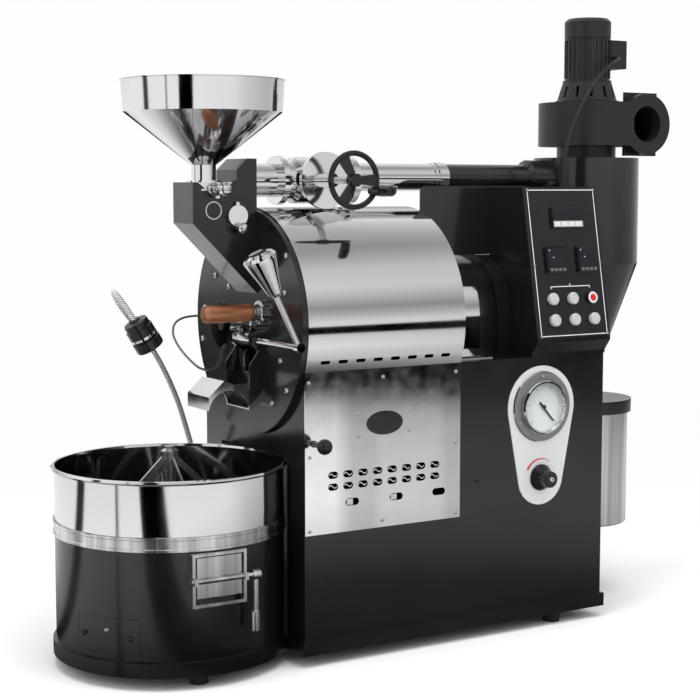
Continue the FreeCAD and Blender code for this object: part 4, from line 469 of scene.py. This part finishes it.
def fasten(name, spots, facing, head_radius, body, finish=bright_zinc):
    """Screws on spots given in the machine's millimetres, made one mesh for their body."""
    head = socket_head(name + "_head")
    points = bpy.data.meshes.new(name)
    points.from_pydata([machine_point(*spot) for spot in spots], [], [])
    piece = bpy.data.objects.new(name, points)
    scene.collection.objects.link(piece)
    repeat = piece.modifiers.new("heads", "NODES")
    repeat.node_group, radius_input = heads_tree(name + "_tree", head, facing, finish)
    repeat[radius_input] = head_radius / 1000
    bpy.context.view_layer.update()
    seen = piece.evaluated_get(bpy.context.evaluated_depsgraph_get())
    made = bpy.data.meshes.new_from_object(seen)
    piece.modifiers.remove(repeat)
    piece.data = made
    made.name = name
    bpy.data.objects.remove(head)
    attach(piece, body)


PANEL_Y = -183
CABINET_SIDE_Y = -181
PLATE_X = -10
OUTWARD = (0, -1, 0)
fasten("panel_screws", [(x, PANEL_Y, z) for x, z in (
    (7.7, 480), (152.4, 482), (302.6, 482), (101, 423), (206.6, 424), (102.4, 384), (206, 387),
    (302.7, 357.5), (8.7, 356), (8.3, 231.6), (151.6, 236), (303.7, 233))],
       OUTWARD, 3.2, "frame")
fasten("front_plate_bolts", [(PLATE_X, y, z) for y, z in (
    (119, 644), (67, 627), (162, 584), (172, 527), (-140, 689), (-136, 627), (-132, 598),
    (-120, 512), (-141, 464), (-32, 484), (-91, 437))], (-1, 0, 0), 5.2, "frame")
fasten("cabinet_side_bolts", [(x, CABINET_SIDE_Y, z) for x, z in (
    (350, 461), (350, 285), (628, 470), (628, 70), (330, 70))],
       OUTWARD, 3.0, "frame", black_coat)


# Burner panel. Polished sheet, with a bright bar bent across each of its coffee-bean vents, a
# bare oval badge in black enamel and bright shutters behind the sight holes.
SHARP_OVER = math.radians(35)


def piece_from(name, shell, finish, body):
    """Turn a shell drawn in the machine's millimetres into a piece riding on a body."""
    bmesh.ops.recalc_face_normals(shell, faces=shell.faces)
    bmesh.ops.scale(shell, vec=(0.001, 0.001, 0.001), verts=shell.verts)
    bmesh.ops.translate(shell, vec=-FLOOR_MIDDLE, verts=shell.verts)
    mesh = bpy.data.meshes.new(name)
    shell.to_mesh(mesh)
    shell.free()
    mesh.shade_smooth()
    mesh.set_sharp_from_angle(angle=SHARP_OVER)
    piece = bpy.data.objects.new(name, mesh)
    scene.collection.objects.link(piece)
    mesh.materials.append(finish)
    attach(piece, body)


def slab(shell, corners, through):
    """A flat shape from its corners, thick by the vector through."""
    low = [shell.verts.new(Vector(corner)) for corner in corners]
    high = [shell.verts.new(Vector(corner) + Vector(through)) for corner in corners]
    shell.faces.new(low)
    shell.faces.new(high)
    for number in range(len(corners)):
        after = (number + 1) % len(corners)
        shell.faces.new((low[number], low[after], high[after], high[number]))


OVAL_X, OVAL_Z = 155.2, 403.8


def oval(half_width, half_rise, y, steps=48):
    """An oval round the badge's middle."""
    turns = [math.tau * step / steps for step in range(steps)]
    return [(OVAL_X + half_width * math.cos(turn), y, OVAL_Z + half_rise * math.sin(turn))
            for turn in turns]


panel_steel, panel_shader = new_finish("panel_steel", (0.8, 0.8, 0.81), 0.08, 1.0)
# Its colour runs in soft upright bands, lighter and darker along the panel: painted reflections.
shade_between(panel_steel, panel_shader, noise_on(panel_steel, 11.0, 0.0, (1, 0.0, 0.02)),
              (0.6, 0.6, 0.61), (0.95, 0.95, 0.96), 0.4, 0.6)
spread_roughness(panel_steel, panel_shader, noise_on(panel_steel, 30.0, 4.0), 0.06, 0.14)
bump_from(panel_steel, panel_shader, noise_on(panel_steel, 6.0, 0.0, (1, 0.0, 0.1)), 0.002, 0.05)
dress(panel_steel, "burner_panel")

BADGE_RIM_RISE = 0.8
badge_rim = bmesh.new()
slab(badge_rim, oval(39, 23, PANEL_Y), (0, -BADGE_RIM_RISE, 0))
piece_from("oval_badge_rim", badge_rim, bright_zinc, "frame")
enamel_black = uneven_finish("black_enamel", (0.01, 0.01, 0.011), 0.12, 60.0, 3.0, 0.08, 0.18)
badge_face = bmesh.new()
slab(badge_face, oval(36.5, 20.5, PANEL_Y - BADGE_RIM_RISE), (0, -0.5, 0))
piece_from("oval_badge_face", badge_face, enamel_black, "frame")

VENT_ROWS = (322.6, 302.9)
VENTS_IN_ROW = 8
VENT_FIRST_X, VENT_LAST_X = 53, 257.4
BAR_LENGTH, BAR_SWING, BAR_HALF, BAR_STEPS = 16, 2.4, 1.0, 10
vent_pitch = (VENT_LAST_X - VENT_FIRST_X) / (VENTS_IN_ROW - 1)
bars = bmesh.new()
for row_z in VENT_ROWS:
    for column in range(VENTS_IN_ROW):
        x = VENT_FIRST_X + vent_pitch * column
        curve = [(x - BAR_LENGTH / 2 + BAR_LENGTH * step / BAR_STEPS,
                  row_z + BAR_SWING * math.sin(math.tau * step / BAR_STEPS))
                 for step in range(BAR_STEPS + 1)]
        upper = [(along, PANEL_Y + 0.6, up + BAR_HALF) for along, up in curve]
        lower = [(along, PANEL_Y + 0.6, up - BAR_HALF) for along, up in reversed(curve)]
        slab(bars, upper + lower, (0, -1.0, 0))
piece_from("bean_vent_bars", bars, bright_zinc, "frame")

SHUTTER_Y = PANEL_Y + 1.6
SIGHT_LOW, SIGHT_HIGH = 269, 279
shutters = bmesh.new()
for x in (90, 177.7):
    slab(shutters, [(x - 9, SHUTTER_Y, SIGHT_LOW), (x + 3, SHUTTER_Y, SIGHT_LOW),
                    (x + 3, SHUTTER_Y, SIGHT_HIGH), (x - 9, SHUTTER_Y, SIGHT_HIGH)],
         (0, -0.8, 0))
piece_from("sight_shutters", shutters, bright_zinc, "frame")

# Console face. White border lines and a bracket are printed on the black sheet. A timer and two
# temperature controllers stand out of it, with their windows, keys and small lamps.
FACE_FOOT = Vector((471, -196, 531))
FACE_UP = Vector((0, 0.18209, 0.98327))
FACE_OUT = Vector((0, -0.98327, 0.18209))
INSTRUMENT_RISE = 6.0
CONTROLLERS = (34, 106)


def face_spot(u, v, rise=0.0):
    """A point on the console's face, u along it and v up it from its lower front corner."""
    return FACE_FOOT + Vector((u, 0, 0)) + FACE_UP * v + FACE_OUT * rise


def face_patch(shell, low_u, low_v, high_u, high_v, base, rise):
    """A thin rectangle on the console's face."""
    corners = ((low_u, low_v), (high_u, low_v), (high_u, high_v), (low_u, high_v))
    slab(shell, [face_spot(u, v, base) for u, v in corners], FACE_OUT * rise)


white_print = uneven_finish("white_print", (0.82, 0.82, 0.82), 0.5, 200.0, 2.0, 0.42, 0.58)
lines = bmesh.new()
for low_u, low_v, high_u, high_v in (
        (9, 268.4, 162, 269.8), (9, 3, 162, 4.4), (9, 4.4, 10.4, 268.4),
        (160.6, 4.4, 162, 268.4), (41, 92, 131, 93.3), (41, 88.5, 42.2, 92),
        (129.8, 88.5, 131, 92), (85, 93.3, 86.2, 98)):
    face_patch(lines, low_u, low_v, high_u, high_v, 0.02, 0.2)
piece_from("console_lines", lines, white_print, "frame")
fasten("console_studs", [tuple(face_spot(u, v)) for u, v in (
    (9.7, 269), (161.3, 269), (161.3, 3.7), (9.7, 3.7), (9.7, 133), (161.3, 134.6))],
       tuple(FACE_OUT), 2.9, "frame")

KEY_COUNT = 4
timer_keys = bmesh.new()
for key in range(KEY_COUNT):
    left = key * 16
    face_patch(timer_keys, 61 + left, 202.5, 72.5 + left, 209.5, INSTRUMENT_RISE, 0.9)
piece_from("timer_keys", timer_keys, pale_plate, "frame")
grey_film = uneven_finish("grey_key_film", (0.45, 0.45, 0.44), 0.4, 150.0, 2.0, 0.32, 0.48)
key_strip = bmesh.new()
face_patch(key_strip, 58.5, 200.6, 125.5, 211.3, INSTRUMENT_RISE, 0.25)
piece_from("timer_key_strip", key_strip, grey_film, "frame")

dark_window = uneven_finish("display_window", (0.012, 0.01, 0.014), 0.06, 90.0, 2.0, 0.04, 0.1)
windows = bmesh.new()
face_patch(windows, 59.5, 213, 124.5, 233.5, INSTRUMENT_RISE, 0.4)
for left in CONTROLLERS:
    face_patch(windows, left + 4, 128, left + 44, 162, INSTRUMENT_RISE, 0.35)
piece_from("display_windows", windows, dark_window, "frame")

key_grey = uneven_finish("controller_keys", (0.11, 0.11, 0.12), 0.4, 120.0, 2.0, 0.32, 0.48)
key_rows = bmesh.new()
for left in CONTROLLERS:
    for key in range(KEY_COUNT):
        face_patch(key_rows, left + 6 + key * 9.6, 120.3, left + 13 + key * 9.6, 125.6,
                   INSTRUMENT_RISE, 0.7)
piece_from("controller_keys", key_rows, key_grey, "frame")

small_lamps = bmesh.new()
for left in CONTROLLERS:
    for u, v in ((left + 7.5, 158), (left + 15.5, 145)):
        turned(small_lamps, [(1.1, 0), (1.0, 0.5), (0.6, 0.9), (0, 1.0)],
               face_spot(u, v, INSTRUMENT_RISE + 0.3), FACE_OUT, 12)
piece_from("controller_lamps", small_lamps, white_print, "frame")


# Pilot lamp. A red moulded lens in a silver ring, in line with the push buttons and standing
# proud of the console's face.
def ring_turned(shell, outline, foot, along, steps=48):
    """Turn a closed outline of (radius, height) pairs into a ring."""
    axis = Vector(along).normalized()
    side = axis.orthogonal().normalized()
    other = axis.cross(side)
    rings = []
    for step in range(steps):
        turn = math.tau * step / steps
        out_of_axis = side * math.cos(turn) + other * math.sin(turn)
        rings.append([shell.verts.new(Vector(foot) + axis * height + out_of_axis * radius)
                      for radius, height in outline])
    count = len(outline)
    for step in range(steps):
        here, after = rings[step], rings[(step + 1) % steps]
        for number in range(count):
            following = (number + 1) % count
            shell.faces.new((here[number], after[number], after[following], here[following]))


PILOT_U, PILOT_V = 41 + 45.3 * 2, 31.5 + 38.5
pilot_foot = face_spot(PILOT_U, PILOT_V)
pilot_ring = bmesh.new()
ring_turned(pilot_ring, [(6.4, 6.0), (10.6, 6.0), (10.2, 7.0), (8.2, 7.6), (6.6, 7.0)],
            pilot_foot, FACE_OUT)
piece_from("pilot_lamp_ring", pilot_ring, pale_plate, "frame")
red_lens = uneven_finish("red_lens", (0.6, 0.01, 0.012), 0.12, 80.0, 2.0, 0.08, 0.16)
pilot_lens = bmesh.new()
turned(pilot_lens, [(6.3, 6.0), (6.3, 6.6), (5.6, 7.5), (3.4, 8.2), (0, 8.5)],
       pilot_foot, FACE_OUT, 32)
piece_from("pilot_lamp_lens", pilot_lens, red_lens, "frame")

# Gas gauge. A white dial printed with fifty small divisions, behind a grey pressed flange that
# three screws hold to the plate.
GAUGE_X, GAUGE_Z = 491.3, 407.0
GAUGE_FOOT = (GAUGE_X, PANEL_Y, GAUGE_Z)
DIAL_RISE = 5.2
DIAL_RADIUS = 42.8
TICK_END = 40
DIVISIONS = 50
DIAL_SWEEP = 270
dial_white = uneven_finish("dial_white", (0.86, 0.88, 0.88), 0.45, 120.0, 2.0, 0.4, 0.5)
dial = bmesh.new()
turned(dial, [(DIAL_RADIUS, 5.0), (DIAL_RADIUS, DIAL_RISE), (0, DIAL_RISE)], GAUGE_FOOT,
       OUTWARD, 64)
piece_from("gauge_dial", dial, dial_white, "frame")


def dial_point(turn, radius):
    """A point on the dial, turned clockwise in degrees from straight up."""
    angle = math.radians(turn)
    return Vector((GAUGE_X + radius * math.sin(angle), PANEL_Y - DIAL_RISE,
                   GAUGE_Z + radius * math.cos(angle)))


ticks = bmesh.new()
for step in range(DIVISIONS + 1):
    turn = -DIAL_SWEEP / 2 + DIAL_SWEEP * step / DIVISIONS
    inner = 33.5 if step % 10 == 0 else 36 if step % 5 == 0 else 37.5
    half = 0.45 if step % 10 == 0 else 0.22
    side = (dial_point(turn + 90, 1) - dial_point(turn + 90, 0)) * half
    start, end = dial_point(turn, inner), dial_point(turn, TICK_END)
    slab(ticks, [start - side, start + side, end + side, end - side], (0, -0.1, 0))
black_print = uneven_finish("black_print", (0.02, 0.02, 0.022), 0.5, 200.0, 2.0, 0.42, 0.58)
piece_from("gauge_ticks", ticks, black_print, "frame")

flange_grey = uneven_finish("flange_grey", (0.24, 0.25, 0.26), 0.35, 90.0, 4.0, 0.28, 0.42, 0.6)
flange_face = bmesh.new()
ring_turned(flange_face, [(49, 3.0), (62.3, 3.0), (62.3, 3.35), (61.6, 3.6), (49, 3.6)],
            GAUGE_FOOT, OUTWARD, 96)
piece_from("gauge_flange_face", flange_face, flange_grey, "frame")
FLANGE_SCREW_RADIUS = 55.5
screw_turns = [math.radians(turn) for turn in (0, 120, 240)]
fasten("gauge_screws", [(GAUGE_X + FLANGE_SCREW_RADIUS * math.sin(turn), -186.5,
                         GAUGE_Z + FLANGE_SCREW_RADIUS * math.cos(turn))
                        for turn in screw_turns], OUTWARD, 3.0, "frame")

# Gas valve's scale and knob screw. A red arc that tapers is printed on the plate over the knob,
# and a bright screw in the knob's end holds it on the valve's stem.
KNOB_Z = 277.7
ARC_RADIUS, ARC_STEPS = 34, 24
ARC_START, ARC_SWEEP = -62, 100
ARC_WIDE, ARC_LEAST = 4.2, 0.4
TAPER_STEPS = 26
arc_out, arc_in = [], []
for step in range(ARC_STEPS + 1):
    turn = math.radians(ARC_START + ARC_SWEEP * step / ARC_STEPS)
    half = (ARC_WIDE * (1 - step / TAPER_STEPS) + ARC_LEAST) / 2
    for edge, radius in ((arc_out, ARC_RADIUS + half), (arc_in, ARC_RADIUS - half)):
        edge.append((GAUGE_X + radius * math.sin(turn), PANEL_Y,
                     KNOB_Z + radius * math.cos(turn)))
red_print = uneven_finish("red_print", (0.55, 0.02, 0.02), 0.45, 150.0, 2.0, 0.4, 0.52)
scale_arc = bmesh.new()
slab(scale_arc, arc_out + arc_in[::-1], (0, -0.15, 0))
piece_from("valve_scale", scale_arc, red_print, "frame")
fasten("gas_knob_screw", [(GAUGE_X, -214.8, KNOB_Z)], OUTWARD, 5.5, "gas_knob")

# Lamp neck. A bright flexible conduit of wound steel strip, fixed low on the cabinet's front
# and bent over the tray, where it enters the lamp's back.
HEAD_TAIL = Vector((-0.5299, 0, 0.8480))
LAMP_HEAD = Vector((-196, 60, 577))


def cord_from(name, route, radius, finish, node):
    """A smooth cord on its route in millimetres, held at both ends, in place of a CAD tube."""
    curve = bpy.data.curves.new(name, "CURVE")
    curve.dimensions = "3D"
    curve.bevel_depth = radius
    curve.bevel_resolution = 6
    curve.use_fill_caps = True
    line = curve.splines.new("NURBS")
    places = [machine_point(*spot) for spot in route]
    line.points.add(len(places) - 1)
    for point, place in zip(line.points, places):
        point.co = (*place, 1)
    line.order_u = 3
    line.use_endpoint_u = True
    line.resolution_u = 16
    piece = bpy.data.objects.new(name, curve)
    scene.collection.objects.link(piece)
    curve.materials.append(finish)
    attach(piece, "frame")
    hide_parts(node)


conduit_steel, conduit_shader = new_finish("wound_conduit", (0.74, 0.74, 0.75), 0.34, 0.35)
conduit_tree = conduit_steel.node_tree
coil_place = conduit_tree.nodes.new("ShaderNodeTexCoord")
coil = conduit_tree.nodes.new("ShaderNodeTexWave")
coil.wave_type = "BANDS"
coil.bands_direction = "Z"
coil.inputs["Scale"].default_value = 95.0
conduit_tree.links.new(coil_place.outputs["Object"], coil.inputs["Vector"])
bump_from(conduit_steel, conduit_shader, coil.outputs["Fac"], 0.0006, 0.6)
# The colour is darker in the grooves between the windings and lighter on their crowns: painted
# shade.
shade_between(conduit_steel, conduit_shader, coil.outputs["Fac"],
              (0.3, 0.3, 0.3), (0.85, 0.85, 0.86), 0.05, 0.5)
neck_route = [(0, 172, 300), (-20, 172, 300), (-34, 172, 322), (-46, 168, 358), (-72, 152, 420),
              (-108, 131, 480), (-146, 110, 530), (-184, 92, 570), (-212, 79, 598),
              (-228, 71, 622), LAMP_HEAD + HEAD_TAIL * 52 + Vector((-6, 2, 4)),
              LAMP_HEAD + HEAD_TAIL * 26, LAMP_HEAD]
cord_from("lamp_conduit", neck_route, 0.0048, conduit_steel,
          "lamp_neck")

# Probe lead. A thin lead in a braided steel sleeve, from the bean thermometer behind the front
# plate's edge back into the plate lower down.
braid, braid_shader = new_finish("braided_sleeve", (0.5, 0.5, 0.51), 0.3, 1.0)
bump_from(braid, braid_shader, noise_on(braid, 1400.0, 2.0), 0.0002, 0.6)
shade_between(braid, braid_shader, noise_on(braid, 900.0, 2.0),
              (0.3, 0.3, 0.3), (0.7, 0.7, 0.71))
probe_route = [(14, 202, 566), (-12, 204, 566), (-36, 203, 564), (-55, 200, 555),
               (-62, 194, 538), (-58, 186, 519), (-49, 175, 501), (-38, 162, 485),
               (-25, 152, 472), (-10, 150, 470)]
cord_from("probe_lead", probe_route, 0.0022, braid, "probe_cable")

# Motor cable. Round black rubber cable, held where it leaves the fan motor's box and where
# it goes down into the console's top.
cable_rubber, cable_shader = new_finish("cable_rubber", (0.01, 0.01, 0.011), 0.42)
bump_from(cable_rubber, cable_shader, noise_on(cable_rubber, 700.0, 3.0), 0.0001, 0.4)
spread_roughness(cable_rubber, cable_shader, noise_on(cable_rubber, 60.0, 3.0), 0.34, 0.52)
motor_route = [(780, -28, 1050), (779, -45, 1049), (764, -64, 1046), (734, -80, 1036),
               (700, -90, 1015), (668, -96, 985), (640, -99, 945), (618, -100, 900),
               (602, -100, 850), (598, -100, 801)]
cord_from("motor_lead", motor_route, 0.0032, cable_rubber,
          "motor_cable")

# Chaff can, clamp band and outlet gate. Bright stainless sheet, rolled or folded, with
# upright drawing lines in its gloss and upright streaks of painted highlight in its colour.
UPRIGHT = (1, 1, 0.02)
drawn_steel, drawn_shader = new_finish("drawn_steel", (0.74, 0.74, 0.75), 0.2, 1.0)
spread_roughness(drawn_steel, drawn_shader, noise_on(drawn_steel, 70.0, 5.0, UPRIGHT), 0.14, 0.3)
# Colour in upright streaks from darker to lighter: painted highlights.
shade_between(drawn_steel, drawn_shader, noise_on(drawn_steel, 45.0, 4.0, UPRIGHT),
              (0.45, 0.45, 0.46), (0.88, 0.88, 0.89))
dress(drawn_steel, "chaff_can", "clamp_band", "outlet_frame", "outlet_flap")

# Knobs of the bin's drawer. Two small bright screw heads, set in the drawer's face to pull
# it by.
fasten("drawer_knobs", [(-330.5, -124, 100), (-275, -148, 85)], (-0.35, -0.94, 0), 3.5,
       "chaff_drawer")

# Round badge on the chute's side. A bright ring pressed round a bare disc of black enamel,
# laid flat on the sheet.
ROUND_BADGE_FOOT = (-92, -38, 762)
round_rim = bmesh.new()
ring_turned(round_rim, [(13.0, 0), (15.5, 0), (15.2, 1.0), (13.2, 1.0)], ROUND_BADGE_FOOT,
            OUTWARD)
piece_from("round_badge_rim", round_rim, bright_zinc, "frame")
round_face = bmesh.new()
turned(round_face, [(13.0, 0), (13.0, 0.5), (0, 0.7)], ROUND_BADGE_FOOT, OUTWARD)
piece_from("round_badge_face", round_face, enamel_black, "frame")

# Screws of the damper's cover disc. Zinc-plated, six in a ring, through the disc into the
# valve's body.
DISC_X, DISC_Z = 113, 812
DISC_FACE_Y = -45.2
DISC_SCREW_RADIUS, DISC_SCREWS, DISC_START = 40, 6, 0.3
disc_turns = [math.tau * number / DISC_SCREWS + DISC_START for number in range(DISC_SCREWS)]
fasten("damper_screws", [(DISC_X + DISC_SCREW_RADIUS * math.cos(turn), DISC_FACE_Y,
                          DISC_Z + DISC_SCREW_RADIUS * math.sin(turn))
                         for turn in disc_turns], OUTWARD, 3.4, "frame")

# Work lamp. A white moulded lens in the end of its machined head, held in by a bright
# turned ring.
LENS_SEAT, BEZEL_SEAT = 32.2, 31.2
aim = -HEAD_TAIL
lamp_white = uneven_finish("lamp_lens", (0.9, 0.9, 0.88), 0.15, 300.0, 2.0, 0.1, 0.3)
lamp_lens = bmesh.new()
turned(lamp_lens, [(20.0, 0), (20.0, 1.2), (12.0, 2.6), (0, 3.2)], LAMP_HEAD + aim * LENS_SEAT,
       aim, 48)
piece_from("lamp_lens", lamp_lens, lamp_white, "frame")
lamp_bezel = bmesh.new()
ring_turned(lamp_bezel, [(20.2, 0), (24.5, 0), (24.5, 4), (23, 5.2), (20.2, 3.4)],
            LAMP_HEAD + aim * BEZEL_SEAT, aim)
piece_from("lamp_bezel", lamp_bezel, mirror_steel, "frame")
